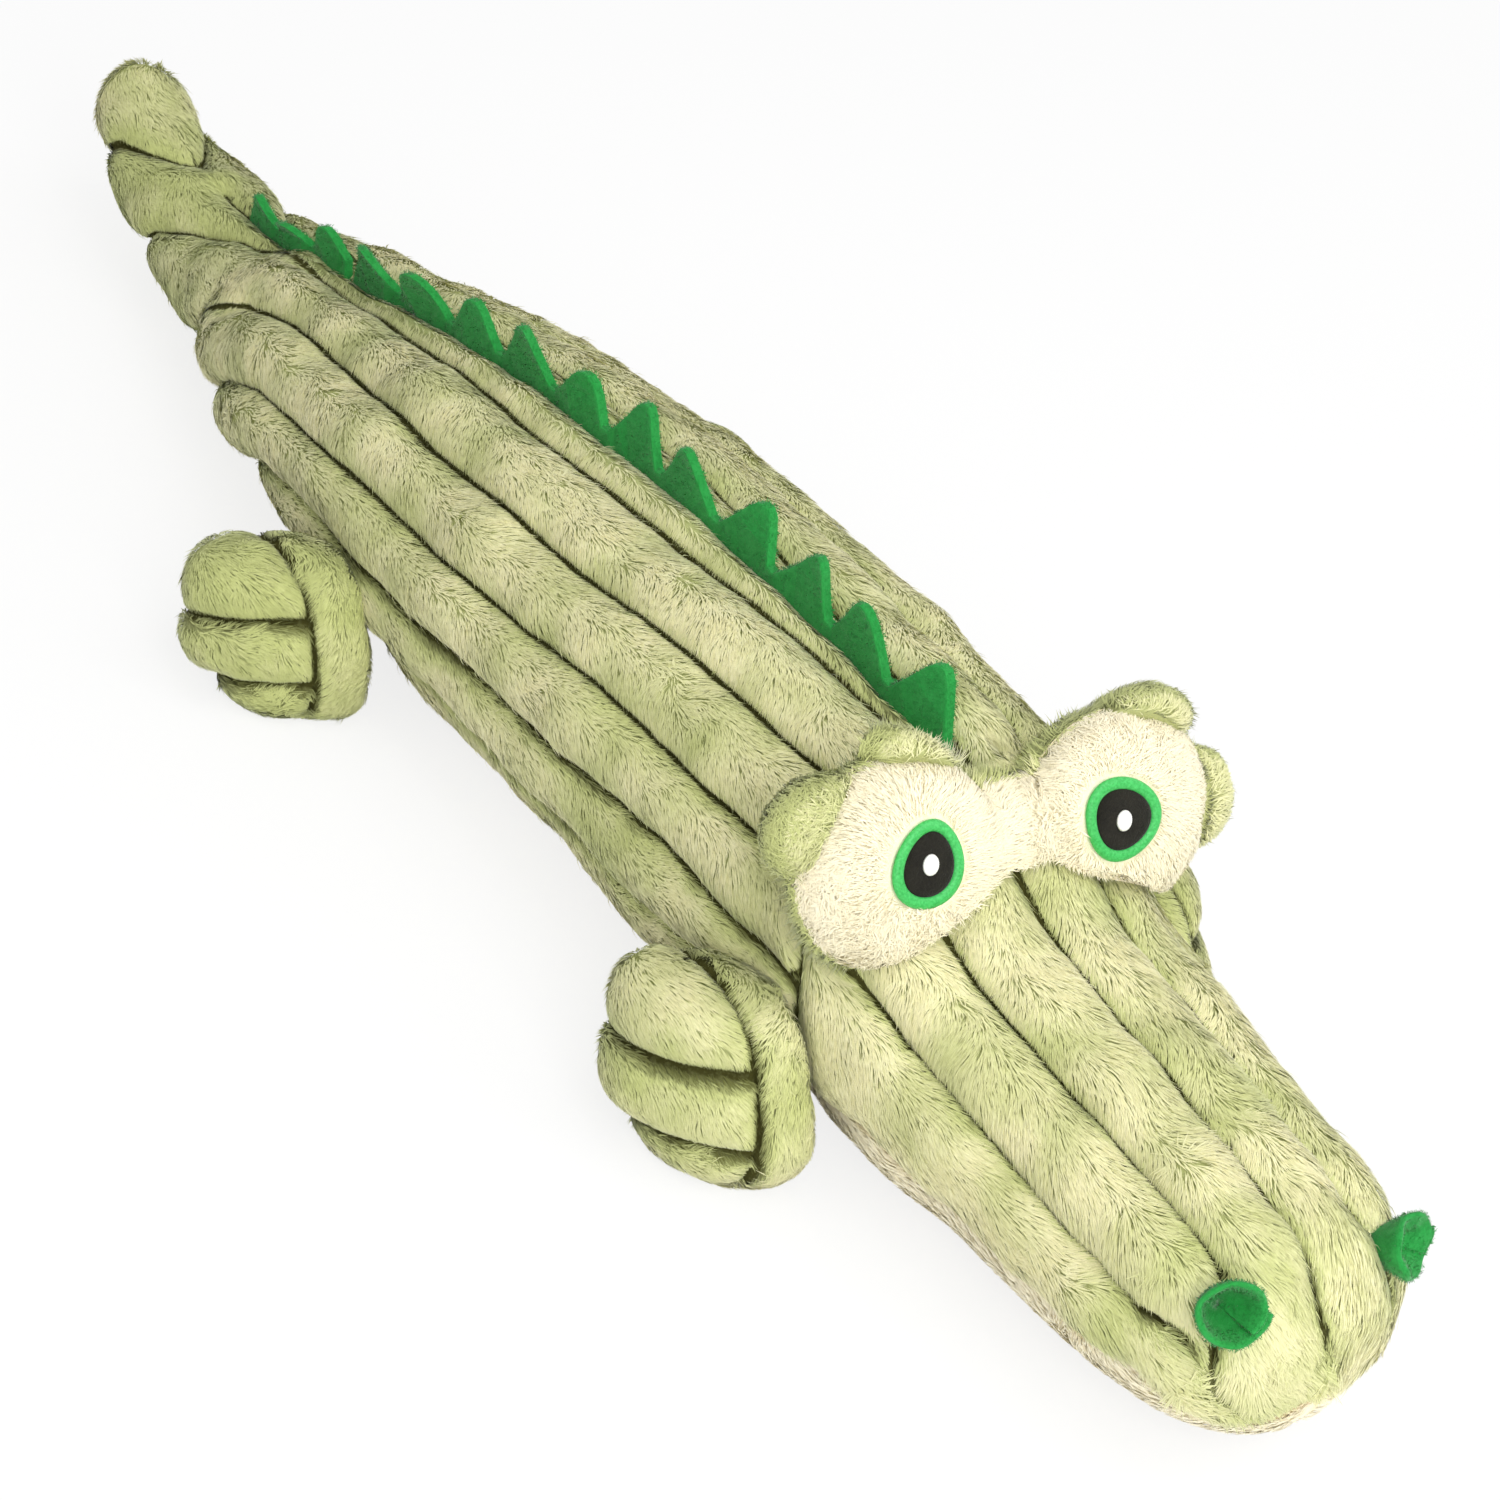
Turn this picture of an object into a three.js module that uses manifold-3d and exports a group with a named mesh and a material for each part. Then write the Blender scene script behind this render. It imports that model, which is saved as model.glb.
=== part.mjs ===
// A stuffed crocodile dog toy: sewn wale plush panels over fibre fill, with felt trims and two squeakers.
// Millimetres, +Z up. The head points to -Y, the animal's right flank is at -X, and it lies on z = 0.
import * as THREE from 'three';
import { mergeVertices } from 'three/addons/utils/BufferGeometryUtils.js';
import Module from 'manifold-3d';

const wasm = await Module();
wasm.setup();

// Clearances and common thicknesses
const seatGap = 0.3;
const turnGap = 0.6;
const overrun = 30;
const mergeTolerance = 0.0005;
const skinDepth = 11;
const grooveDepth = 6.5;

// Torso, from the neck seam back to the tail seam
const torsoLength = 378;
const torsoHalfWidth = 70;
const torsoHeight = 106;
const beltHeight = 21;
const bellyFlatSink = 5;

// Head, from the neck seam forward to the tip of the snout
const headLength = 174;
const headHalfWidth = 62;
const headHeight = 102;
const jawHeight = 27;

// Tail, from the tail seam back to the tip
const tailLength = 122;
const tailHalfWidth = 43;
const tailHeight = 57;

// Neck and tail seams: radius of the rounded stuffing end that turns in its socket
const neckTurnAhead = 42;
const neckTurnRadius = 36;
const neckTurnHeight = 45;
const neckLift = 12;
const tailTurnRadius = 35;
const tailSwing = 25;

// Legs: short stuffed paddles hung from the flank
const frontLegHeight = 54;
const rearLegHeight = 46;
const legFoot = 4;
const legLongRadius = 30;
const legShortRadius = 17;
const legSkinDepth = 5;
const legSweep = 14;
const legFlankGap = 0.9;
const frontLegBehind = 6;
const rearLegBehind = 233;
const frontLegSpread = 12;
const rearLegSpread = 16;
const tuckedLegSpread = 7;
const frontLegTurn = 58;
const rearLegTurn = 38;
const tuckedLegTurn = 78;

// Eye pillow: a peanut-shaped pillow that stands across the forehead
const pillowBehindSnout = 162;
const pillowDrop = 8;
const pillowLean = 24;
const lobeSpacing = 73;
const lobeRadius = 30;
const waistRadius = 16;
const pillowFrontDepth = 13;
const pillowBackDepth = 10;
const pillowSkin = 4;
const backRim = 4;
const scallopDepth = 3;
const scallops = 9;

// Eyes
const eyeSpacing = 65;
const eyeShift = 2.5;
const eyeRise = 2;
const eyeHeight = 24.5;
const eyeWidth = 23;
const ringWidth = 3.4;
const ringHeight = 3.2;
const pupilHeight = 2.4;
const highlightHeight = 1;
const highlightRadius = 2.3;
const eyeEggShare = 0.16;

// Felt spikes
const feltThickness = 3.2;
const spikeHeight = 15;
const spikePitch = 29.4;
const stripWidth = 9;
const stripSink = 7;
const spikeStart = 16;
const torsoSpikes = 11;
const tailSpikes = 3;
const tailSpikePitch = 21;
const tailSpikeHeight = 11;

// Felt nostril cones
const nostrilSpacing = 58;
const nostrilBack = 16;
const nostrilMouth = 10;
const nostrilRoot = 4;
const nostrilLength = 14;
const nostrilFelt = 2.4;
const nostrilSink = 5;

// Squeakers
const squeakerRadius = 24;
const squeakerHeight = 26;
const headSqueakerRadius = 17;
const headSqueakerHeight = 20;
const squeakerWall = 1.8;
const reedRadius = 5;
const reedFlange = 1.6;
const reedLength = 9;

// Smoothness
const turnSides = 48;
const smallSides = 20;

// Colours
const colours = {
  wale: 0xc2c891,
  cream: 0xfbedcb,
  felt: 0x22913a,
  thread: 0x45d266,
  velour: 0x1b1a17,
  glint: 0xede9e6,
  fibre: 0xf4f2ec,
  vinyl: 0xe8e4d8,
};

// Where the segments meet, with the whole toy centred along its length
const wholeLength = headLength + torsoLength + tailLength;
const neckY = headLength - wholeLength / 2;
const tailY = neckY + torsoLength;
const snoutY = neckY - headLength;
const tailTipY = tailY + tailLength;
const neckTurnY = neckY - neckTurnAhead;

// Stations: shares of the segment's length, of its half width, and of its height for the top and the bottom
const headStationShares = [
  [1.0, 0.12, 0.42, 0.27],
  [0.985, 0.34, 0.5, 0.19],
  [0.95, 0.54, 0.59, 0.12],
  [0.89, 0.7, 0.69, 0.09],
  [0.78, 0.78, 0.75, 0.06],
  [0.6, 0.83, 0.78, 0.04],
  [0.42, 0.89, 0.8, 0.03],
  [0.25, 0.95, 0.84, 0.01],
  [0.1, 1.0, 0.93, -0.02],
];
const torsoStationShares = [
  [0.0, 0.91, 0.99, -0.03],
  [0.14, 0.97, 1.01, -0.035],
  [0.28, 1.0, 1.0, -0.035],
  [0.44, 1.01, 0.96, -0.035],
  [0.6, 0.98, 0.89, -0.035],
  [0.74, 0.92, 0.79, -0.035],
  [0.86, 0.79, 0.69, 0.0],
  [0.94, 0.66, 0.62, 0.04],
];
const tailStationShares = [
  [0.0, 0.88, 1.02, 0.07],
  [0.12, 0.78, 0.97, 0.08],
  [0.28, 0.68, 0.93, 0.1],
  [0.5, 0.58, 0.91, 0.17],
  [0.72, 0.5, 0.96, 0.29],
  [0.88, 0.42, 1.07, 0.46],
  [0.96, 0.32, 1.08, 0.6],
  [1.0, 0.12, 0.98, 0.74],
];

function stationsOf(shares, startY, endY, halfWidth, height) {
  return shares.map(([along, wide, top, bottom]) => ({
    y: startY + along * (endY - startY),
    half: wide * halfWidth,
    top: top * height,
    bottom: bottom * height,
  }));
}

const stations = [
  ...stationsOf(headStationShares, neckY, snoutY, headHalfWidth, headHeight),
  ...stationsOf(torsoStationShares, neckY, tailY, torsoHalfWidth, torsoHeight),
  ...stationsOf(tailStationShares, tailY, tailTipY, tailHalfWidth, tailHeight),
];

// One smooth value between stations, with the slope at each taken from its neighbours
function smoothValue(name, y) {
  const last = stations.length - 1;
  const clamped = Math.min(Math.max(y, stations[0].y), stations[last].y);
  let i = 0;
  while (i < last - 1 && stations[i + 1].y < clamped) {
    i += 1;
  }
  const slopeAt = (k) => {
    const before = stations[Math.max(k - 1, 0)];
    const after = stations[Math.min(k + 1, last)];
    return (after[name] - before[name]) / (after.y - before.y);
  };
  const span = stations[i + 1].y - stations[i].y;
  const t = (clamped - stations[i].y) / span;
  const rise = 3 * t * t - 2 * t * t * t;
  const lead = (t * t * t - 2 * t * t + t) * span * slopeAt(i);
  const trail = (t * t * t - t * t) * span * slopeAt(i + 1);
  return stations[i][name] * (1 - rise) + stations[i + 1][name] * rise + lead + trail;
}

// The body's oval section at one place along its length
function sectionAt(y) {
  const top = smoothValue('top', y);
  const bottom = smoothValue('bottom', y);
  return { half: smoothValue('half', y), rise: (top - bottom) / 2, middle: (top + bottom) / 2 };
}

// The oval's angle from the top at each share of the way round to the bottom
const ovalSteps = 72;
function ovalAngles(section, shares) {
  const lengths = [0];
  for (let i = 1; i <= ovalSteps; i += 1) {
    const a = (Math.PI * (i - 0.5)) / ovalSteps;
    const step = Math.hypot(section.half * Math.cos(a), section.rise * Math.sin(a));
    lengths.push(lengths[i - 1] + step);
  }
  return shares.map((share) => {
    const wanted = share * lengths[ovalSteps];
    let i = 1;
    while (i < ovalSteps && lengths[i] < wanted) {
      i += 1;
    }
    const part = (wanted - lengths[i - 1]) / (lengths[i] - lengths[i - 1]);
    return (Math.PI * (i - 1 + part)) / ovalSteps;
  });
}

// A point on the oval, moved inward by a depth
function ovalPoint(section, angle, y, side, depth) {
  const normal = new THREE.Vector2(Math.sin(angle) / section.half, Math.cos(angle) / section.rise);
  normal.normalize();
  const x = Math.max(section.half * Math.sin(angle) - depth * normal.x, 0);
  const z = section.middle + section.rise * Math.cos(angle) - depth * normal.y;
  return new THREE.Vector3(side * x, y, z);
}

// Where the points of one half ring lie: between seams the wales crown, at seams they sink
const waleShares = [0, 0.2, 0.5, 0.8];
const waleSinkShares = [1, 0.22, 0, 0.22];
const plainSteps = 3;

function halfRingPlan(seamShares) {
  const plan = [];
  for (let i = 0; i + 1 < seamShares.length; i += 1) {
    waleShares.forEach((share, k) => {
      const at = seamShares[i] + share * (seamShares[i + 1] - seamShares[i]);
      plan.push({ at, sink: waleSinkShares[k] });
    });
  }
  const green = seamShares[seamShares.length - 1];
  for (let i = 0; i <= plainSteps; i += 1) {
    plan.push({ at: green + (i / plainSteps) * (1 - green), sink: i === 0 ? 1 : 0 });
  }
  return plan;
}

function plainPlan(steps) {
  return Array.from({ length: steps + 1 }, (_, i) => ({ at: i / steps, sink: 0 }));
}

// A whole ring of the body: down the right side and up the left, flattened where it lies on the floor
function bodyRing(y, plan, inset, floorZ) {
  const full = sectionAt(y);
  const section = {
    half: Math.max(full.half - inset, inset / 4),
    rise: Math.max(full.rise - inset, inset / 4),
    middle: full.middle,
  };
  const slim = Math.min(1, full.half / (2.5 * skinDepth));
  const angles = ovalAngles(section, plan.map((spot) => spot.at));
  const point = (i, side) => {
    const p = ovalPoint(section, angles[i], y, side, plan[i].sink * grooveDepth * slim);
    p.z = Math.max(p.z, floorZ);
    return p;
  };
  const ring = plan.map((_, i) => point(i, -1));
  for (let i = plan.length - 2; i > 0; i -= 1) {
    ring.push(point(i, 1));
  }
  return ring;
}

// A closed skin through rings of equal count, with a fan over each end
function loftGeometry(rings) {
  const count = rings[0].length;
  const points = rings.flat();
  const ends = [rings[0], rings[rings.length - 1]];
  ends.forEach((ring) => {
    const middle = new THREE.Vector3();
    ring.forEach((p) => middle.addScaledVector(p, 1 / count));
    points.push(middle);
  });
  const faces = [];
  for (let r = 0; r + 1 < rings.length; r += 1) {
    for (let i = 0; i < count; i += 1) {
      const a = r * count + i;
      const b = r * count + ((i + 1) % count);
      faces.push(a, b, a + count, b, b + count, a + count);
    }
  }
  const lastRing = (rings.length - 1) * count;
  for (let i = 0; i < count; i += 1) {
    const next = (i + 1) % count;
    faces.push(points.length - 2, next, i);
    faces.push(points.length - 1, lastRing + i, lastRing + next);
  }
  const geometry = new THREE.BufferGeometry();
  geometry.setAttribute('position', new THREE.Float32BufferAttribute(points.flatMap((p) => p.toArray()), 3));
  geometry.setIndex(faces);
  return geometry;
}

// Turns a closed geometry into a solid, with its faces pointing out
function solid(geometry) {
  const bare = geometry.clone();
  bare.deleteAttribute('normal');
  bare.deleteAttribute('uv');
  const merged = mergeVertices(bare, mergeTolerance);
  const corners = merged.attributes.position.array;
  const faces = Uint32Array.from(merged.index.array);
  let volume = 0;
  const [a, b, c] = [new THREE.Vector3(), new THREE.Vector3(), new THREE.Vector3()];
  for (let i = 0; i < faces.length; i += 3) {
    a.fromArray(corners, 3 * faces[i]);
    b.fromArray(corners, 3 * faces[i + 1]);
    c.fromArray(corners, 3 * faces[i + 2]);
    volume += a.dot(b.clone().cross(c));
  }
  if (volume < 0) {
    for (let i = 0; i < faces.length; i += 3) {
      [faces[i + 1], faces[i + 2]] = [faces[i + 2], faces[i + 1]];
    }
  }
  const mesh = new wasm.Mesh({ numProp: 3, vertProperties: Float32Array.from(corners), triVerts: faces });
  return new wasm.Manifold(mesh);
}

function geometryOf(body) {
  const mesh = body.getMesh();
  const geometry = new THREE.BufferGeometry();
  geometry.setAttribute('position', new THREE.BufferAttribute(Float32Array.from(mesh.vertProperties), 3));
  geometry.setIndex(new THREE.BufferAttribute(Uint32Array.from(mesh.triVerts), 1));
  geometry.computeVertexNormals();
  return geometry;
}

// The main body, without crumbs that a cut leaves along an edge
function mainBody(body) {
  return body.decompose().reduce((best, part) => (part.volume() > best.volume() ? part : best));
}

// The same body, smaller by a gap on every side
function shrunk(body, gap) {
  const box = body.boundingBox();
  const middle = box.min.map((low, i) => (low + box.max[i]) / 2);
  const scale = box.min.map((low, i) => 1 - (2 * gap) / (box.max[i] - low));
  return body.translate(middle.map((m) => -m)).scale(scale).translate(middle);
}

// A block between two corners
function block(low, high) {
  const size = high.clone().sub(low);
  const geometry = new THREE.BoxGeometry(size.x, size.y, size.z);
  const middle = low.clone().add(high).multiplyScalar(0.5);
  geometry.translate(middle.x, middle.y, middle.z);
  return solid(geometry);
}

const reach = wholeLength;
const v = (x, y, z) => new THREE.Vector3(x, y, z);
const everywhere = (low, high) => block(v(low.x ?? -reach, low.y ?? -reach, low.z ?? -reach),
  v(high.x ?? reach, high.y ?? reach, high.z ?? reach));

// The neck turns about a level axis, the tail about an upright one
function neckBarrel(radius) {
  const geometry = new THREE.CylinderGeometry(radius, radius, 2 * torsoHalfWidth + overrun, turnSides);
  geometry.rotateZ(Math.PI / 2);
  geometry.translate(0, neckTurnY, neckTurnHeight);
  return solid(geometry);
}

function tailBarrel(radius) {
  const geometry = new THREE.CylinderGeometry(radius, radius, 2 * torsoHeight, turnSides);
  geometry.rotateX(Math.PI / 2);
  geometry.translate(0, tailY, 0);
  return solid(geometry);
}

// What each segment leaves to its neighbour, with room for the turn
function neckNotch() {
  const behind = new THREE.BoxGeometry(reach, reach, reach);
  behind.translate(0, reach / 2, reach / 2);
  behind.rotateX(THREE.MathUtils.degToRad(neckLift));
  behind.translate(0, neckTurnY, neckTurnHeight);
  return solid(behind);
}

function tailNotch(side) {
  const ahead = new THREE.BoxGeometry(reach, reach, reach);
  ahead.translate(side * reach / 2, -reach / 2, 0);
  ahead.rotateZ(side * THREE.MathUtils.degToRad(tailSwing));
  ahead.translate(0, tailY, 0);
  return solid(ahead);
}

const torsoFromHead = everywhere({ y: neckTurnY }, {}).add(neckNotch()).subtract(neckBarrel(neckTurnRadius));
const torsoFromTail = everywhere({}, { y: tailY })
  .add(tailNotch(-1))
  .add(tailNotch(1))
  .subtract(tailBarrel(tailTurnRadius));
const headFromTorso = everywhere({}, { y: neckTurnY + turnGap }).add(neckBarrel(neckTurnRadius + turnGap));
const tailFromTorso = everywhere({ y: tailY - turnGap }, {}).add(tailBarrel(tailTurnRadius + turnGap));

const torsoOf = (body) => body.subtract(headFromTorso).subtract(tailFromTorso);
const headOf = (body) => body.subtract(torsoFromHead);
const tailOf = (body) => body.subtract(torsoFromTail);

// Outer, inner and stuffing forms of each segment
const torsoSeamShares = [0, 0.07, 0.212, 0.354, 0.496, 0.638, 0.78];
const headSeamShares = [0, 0.19, 0.38, 0.57, 0.76];
const tailSeamShares = [0, 0.12, 0.42, 0.72];

function placesBetween(start, end, steps) {
  return Array.from({ length: steps + 1 }, (_, i) => start + ((end - start) * i) / steps);
}

// Rounded end: places bunch up towards the tip
function placesToTip(start, tip, steps) {
  const share = (i) => Math.sin((Math.PI * i) / (2 * steps));
  return Array.from({ length: steps + 1 }, (_, i) => start + (tip - start) * share(i));
}

function bodyForm(places, plan, inset, floorZ) {
  return solid(loftGeometry(places.map((y) => bodyRing(y, plan, inset, floorZ))));
}

const torsoPlaces = placesBetween(neckTurnY - overrun, tailY + overrun, 17);
const headPlaces = placesToTip(neckTurnY + neckTurnRadius + overrun, snoutY, 15);
const tailPlaces = placesToTip(tailY - tailTurnRadius - overrun, tailTipY, 14);
const innerHeadPlaces = placesToTip(neckTurnY + neckTurnRadius + overrun, snoutY + skinDepth, 8);
const innerTailPlaces = placesToTip(tailY - tailTurnRadius - overrun, tailTipY - skinDepth, 7);
const innerTorsoPlaces = placesBetween(neckTurnY - overrun, tailY + overrun, 10);
const innerPlan = plainPlan(9);
const fillInset = skinDepth + seatGap;

const torsoOuter = bodyForm(torsoPlaces, halfRingPlan(torsoSeamShares), 0, 0);
const torsoInner = bodyForm(innerTorsoPlaces, innerPlan, skinDepth, bellyFlatSink);
const torsoStuffing = bodyForm(innerTorsoPlaces, innerPlan, fillInset, bellyFlatSink + seatGap);
const headOuter = bodyForm(headPlaces, halfRingPlan(headSeamShares), 0, 0);
const headInner = bodyForm(innerHeadPlaces, innerPlan, skinDepth, bellyFlatSink);
const headStuffing = bodyForm(innerHeadPlaces, innerPlan, fillInset, bellyFlatSink + seatGap);
const tailOuter = bodyForm(tailPlaces, halfRingPlan(tailSeamShares), 0, 0);
const tailInner = bodyForm(innerTailPlaces, innerPlan, skinDepth, 0);
const tailStuffing = bodyForm(innerTailPlaces, innerPlan, fillInset, 0);

// Named pieces
const toy = new THREE.Group();
function addPiece(name, body, colour, roughness, parent = toy) {
  const material = new THREE.MeshStandardMaterial({ color: colour, roughness, metalness: 0 });
  const mesh = new THREE.Mesh(geometryOf(mainBody(body)), material);
  mesh.name = name;
  parent.add(mesh);
  return mesh;
}

const sideNames = [[-1, 'right'], [1, 'left']];
const rightHalf = everywhere({}, { x: -seatGap / 2 });
const leftHalf = everywhere({ x: seatGap / 2 }, {});
const halfOf = (side) => (side < 0 ? rightHalf : leftHalf);

// The felt strip stands in the middle seam along the back
function backTop(y) {
  const section = sectionAt(y);
  return section.middle + section.rise;
}

// One spike, from its rear foot over its rounded tip to its front foot
const spikeShares = [
  [0.94, 0.02], [0.72, 0.5], [0.6, 0.86], [0.5, 1.0], [0.36, 0.95], [0.22, 0.6], [0.06, 0.04],
];

function stripOutline(startY, count, pitch, height, grow) {
  const end = startY + count * pitch;
  const low = (y) => backTop(y) - stripSink - grow;
  const high = (y) => backTop(y) - stripSink + stripWidth + grow;
  const points = [new THREE.Vector2(startY - grow, low(startY))];
  for (let i = 1; i <= count; i += 1) {
    points.push(new THREE.Vector2(startY + i * pitch + (i === count ? grow : 0), low(startY + i * pitch)));
  }
  for (let i = count - 1; i >= 0; i -= 1) {
    spikeShares.forEach(([along, up]) => {
      const y = startY + (i + along) * pitch;
      points.push(new THREE.Vector2(y, high(y) + up * height));
    });
  }
  points.push(new THREE.Vector2(startY - grow, high(startY)));
  points[count].x = end + grow;
  return points;
}

function uprightSheet(points, thickness) {
  const geometry = new THREE.ExtrudeGeometry(new THREE.Shape(points), {
    depth: thickness,
    bevelEnabled: false,
    steps: 1,
  });
  geometry.translate(0, 0, -thickness / 2);
  geometry.applyMatrix4(new THREE.Matrix4().makeBasis(v(0, 1, 0), v(0, 0, 1), v(1, 0, 0)));
  return solid(geometry);
}

const torsoStripStart = neckY + spikeStart;
const tailStripStart = tailY - tailTurnRadius + turnGap;
const torsoStrip = uprightSheet(
  stripOutline(torsoStripStart, torsoSpikes, spikePitch, spikeHeight, 0), feltThickness);
const tailStrip = uprightSheet(
  stripOutline(tailStripStart, tailSpikes, tailSpikePitch, tailSpikeHeight, 0), feltThickness);
const slotThickness = feltThickness + 2 * seatGap;
const torsoSlot = uprightSheet(
  stripOutline(torsoStripStart, torsoSpikes, spikePitch, spikeHeight, seatGap), slotThickness);
const tailSlot = uprightSheet(
  stripOutline(tailStripStart, tailSpikes, tailSpikePitch, tailSpikeHeight, seatGap), slotThickness);

// Skins: a quilted wale panel on each side and a plain cream panel beneath
function addSkins(prefix, shell, slot, seamHeight, lowerName) {
  sideNames.forEach(([side, sideName]) => {
    const upper = shell.intersect(halfOf(side)).intersect(everywhere({ z: seamHeight }, {}));
    addPiece(`${prefix}_panel_${sideName}`, upper.subtract(slot), colours.wale, 0.95);
  });
  if (lowerName) {
    addPiece(lowerName, shell.intersect(everywhere({}, { z: seamHeight - seatGap })), colours.cream, 0.95);
  }
}

addSkins('torso', torsoOf(torsoOuter.subtract(torsoInner)), torsoSlot, beltHeight, 'belly_panel');
addPiece('torso_spike_strip', torsoStrip, colours.felt, 0.9);

// A squeaker: a thin vinyl bulb, open at the top for its reed
function bulbGeometry(radius, height) {
  const steps = 7;
  const neck = Math.asin((reedRadius + seatGap) / radius);
  const outer = [];
  const inner = [];
  for (let i = 0; i <= steps; i += 1) {
    const a = Math.PI - (i / steps) * (Math.PI - neck);
    outer.push(new THREE.Vector2(i === 0 ? 0 : radius * Math.sin(a), (height / 2) * Math.cos(a)));
    const thin = i === steps ? reedRadius + seatGap : (radius - squeakerWall) * Math.sin(a);
    const level = (height / 2 - squeakerWall) * Math.cos(a);
    inner.unshift(new THREE.Vector2(i === 0 ? 0 : thin, level));
  }
  const geometry = new THREE.LatheGeometry([...outer, ...inner], smallSides);
  geometry.rotateX(Math.PI / 2);
  return geometry;
}

// The reed: a stem in the bulb's mouth under a flange, bored through from below
function reedGeometry() {
  const bore = reedRadius / 2;
  const profile = [
    [0, reedFlange], [reedRadius + 2 * reedFlange, reedFlange], [reedRadius + 2 * reedFlange, 0],
    [reedRadius, 0], [reedRadius, -reedLength], [bore, -reedLength], [bore, 0], [0, 0],
  ];
  const geometry = new THREE.LatheGeometry(profile.map(([r, z]) => new THREE.Vector2(r, z)), smallSides);
  geometry.rotateX(Math.PI / 2);
  return geometry;
}

// A squeaker in its pocket: returns the pocket to be left in the stuffing
function addSqueaker(name, y, z, radius, height) {
  const holder = new THREE.Group();
  holder.position.set(0, y, z);
  toy.add(holder);
  addPiece(`${name}_bulb`, solid(bulbGeometry(radius, height)), colours.vinyl, 0.4, holder);
  const neck = Math.asin((reedRadius + seatGap) / radius);
  const reed = addPiece(`${name}_reed`, solid(reedGeometry()), colours.vinyl, 0.4, holder);
  reed.position.z = (height / 2) * Math.cos(neck) + seatGap;
  const top = reed.position.z + reedFlange + seatGap;
  const low = -height / 2 - seatGap;
  const pocket = new THREE.CylinderGeometry(radius + seatGap, radius + seatGap, top - low, smallSides);
  pocket.rotateX(Math.PI / 2);
  pocket.translate(0, y, z + (top + low) / 2);
  return solid(pocket);
}

// Stuffing in two halves that close over the squeaker
function addStuffing(prefix, body, pocket, splitZ) {
  const hollowed = body.subtract(pocket);
  const lower = hollowed.intersect(everywhere({}, { z: splitZ - seatGap / 2 }));
  const upper = hollowed.intersect(everywhere({ z: splitZ + seatGap / 2 }, {}));
  addPiece(`${prefix}_fill_lower`, lower, colours.fibre, 1);
  addPiece(`${prefix}_fill_upper`, upper, colours.fibre, 1);
}

const torsoSqueakerY = neckY + torsoLength * 0.42;
const torsoSplit = sectionAt(torsoSqueakerY).middle;
const torsoPocket = addSqueaker('torso_squeaker', torsoSqueakerY, torsoSplit, squeakerRadius, squeakerHeight);
addStuffing('torso', torsoOf(torsoStuffing), torsoPocket, torsoSplit);

// Head: its wale panels, the cream chin and the stuffing
const nostrilY = snoutY + nostrilBack;
function nostrilPlace(side) {
  const section = sectionAt(nostrilY);
  const x = nostrilSpacing / 2;
  const z = section.middle + section.rise * Math.sqrt(1 - (x / section.half) ** 2);
  return v(side * x, nostrilY, z);
}

const nostrilTilt = { x: 0.25, y: -0.8, z: 0.55 };
function nostrilSolid(side, grow) {
  const inner = nostrilMouth - nostrilFelt;
  const bottom = nostrilFelt * 1.5;
  const profile = grow > 0
    ? [[0, -grow], [nostrilRoot + grow, -grow], [nostrilMouth + grow, nostrilLength], [0, nostrilLength]]
    : [[0, 0], [nostrilRoot, 0], [nostrilMouth, nostrilLength], [inner, nostrilLength],
      [nostrilRoot / 3, bottom], [0, bottom]];
  const geometry = new THREE.LatheGeometry(profile.map(([r, z]) => new THREE.Vector2(r, z)), smallSides);
  const axis = v(side * nostrilTilt.x, nostrilTilt.y, nostrilTilt.z).normalize();
  geometry.applyQuaternion(new THREE.Quaternion().setFromUnitVectors(v(0, 1, 0), axis));
  const root = nostrilPlace(side).addScaledVector(axis, -nostrilSink);
  geometry.translate(root.x, root.y, root.z);
  return solid(geometry);
}

const headShell = headOf(headOuter.subtract(headInner))
  .subtract(nostrilSolid(-1, seatGap))
  .subtract(nostrilSolid(1, seatGap));
addSkins('head', headShell, torsoSlot, jawHeight, 'chin_panel');
sideNames.forEach(([side, sideName]) => {
  addPiece(`nostril_cone_${sideName}`, nostrilSolid(side, 0), colours.felt, 0.9);
});
const headSqueakerY = neckY - headLength * 0.42;
const headSplit = sectionAt(headSqueakerY).middle;
const headPocket = addSqueaker(
  'head_squeaker', headSqueakerY, headSplit, headSqueakerRadius, headSqueakerHeight);
addStuffing('head', headOf(headStuffing), headPocket, headSplit);

// Tail: wale panels all round and the stuffing
addSkins('tail', tailOf(tailOuter.subtract(tailInner)), tailSlot, -reach, null);
addPiece('tail_spike_strip', tailStrip, colours.felt, 0.9);
addPiece('tail_fill', tailOf(tailStuffing), colours.fibre, 1);

// Legs
const legLevelShares = [
  [0.0, 0.66], [0.05, 0.78], [0.11, 0.82], [0.16, 0.8], [0.26, 0.96], [0.38, 1.0], [0.52, 0.98],
  [0.62, 0.86], [0.7, 0.96], [0.8, 0.98], [0.9, 0.88], [0.97, 0.68], [1.0, 0.45],
];
const legInnerShares = [[0.0, 0.7], [0.3, 1.0], [0.7, 0.98], [1.0, 0.6]];

// How far out a leg's inner side stays: the cheek crowns at its widest place, the flank has a seam there
const flankCrownShare = 0.973;
function flankReach(y) {
  const crownShare = y < neckTurnY + neckTurnRadius ? 1 : flankCrownShare;
  return sectionAt(y).half * crownShare + legFlankGap;
}

// The right legs splay, and the left legs lie tucked along the flank
function spreadOf(spot, side) {
  return side < 0 ? spot.spread : tuckedLegSpread;
}

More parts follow.
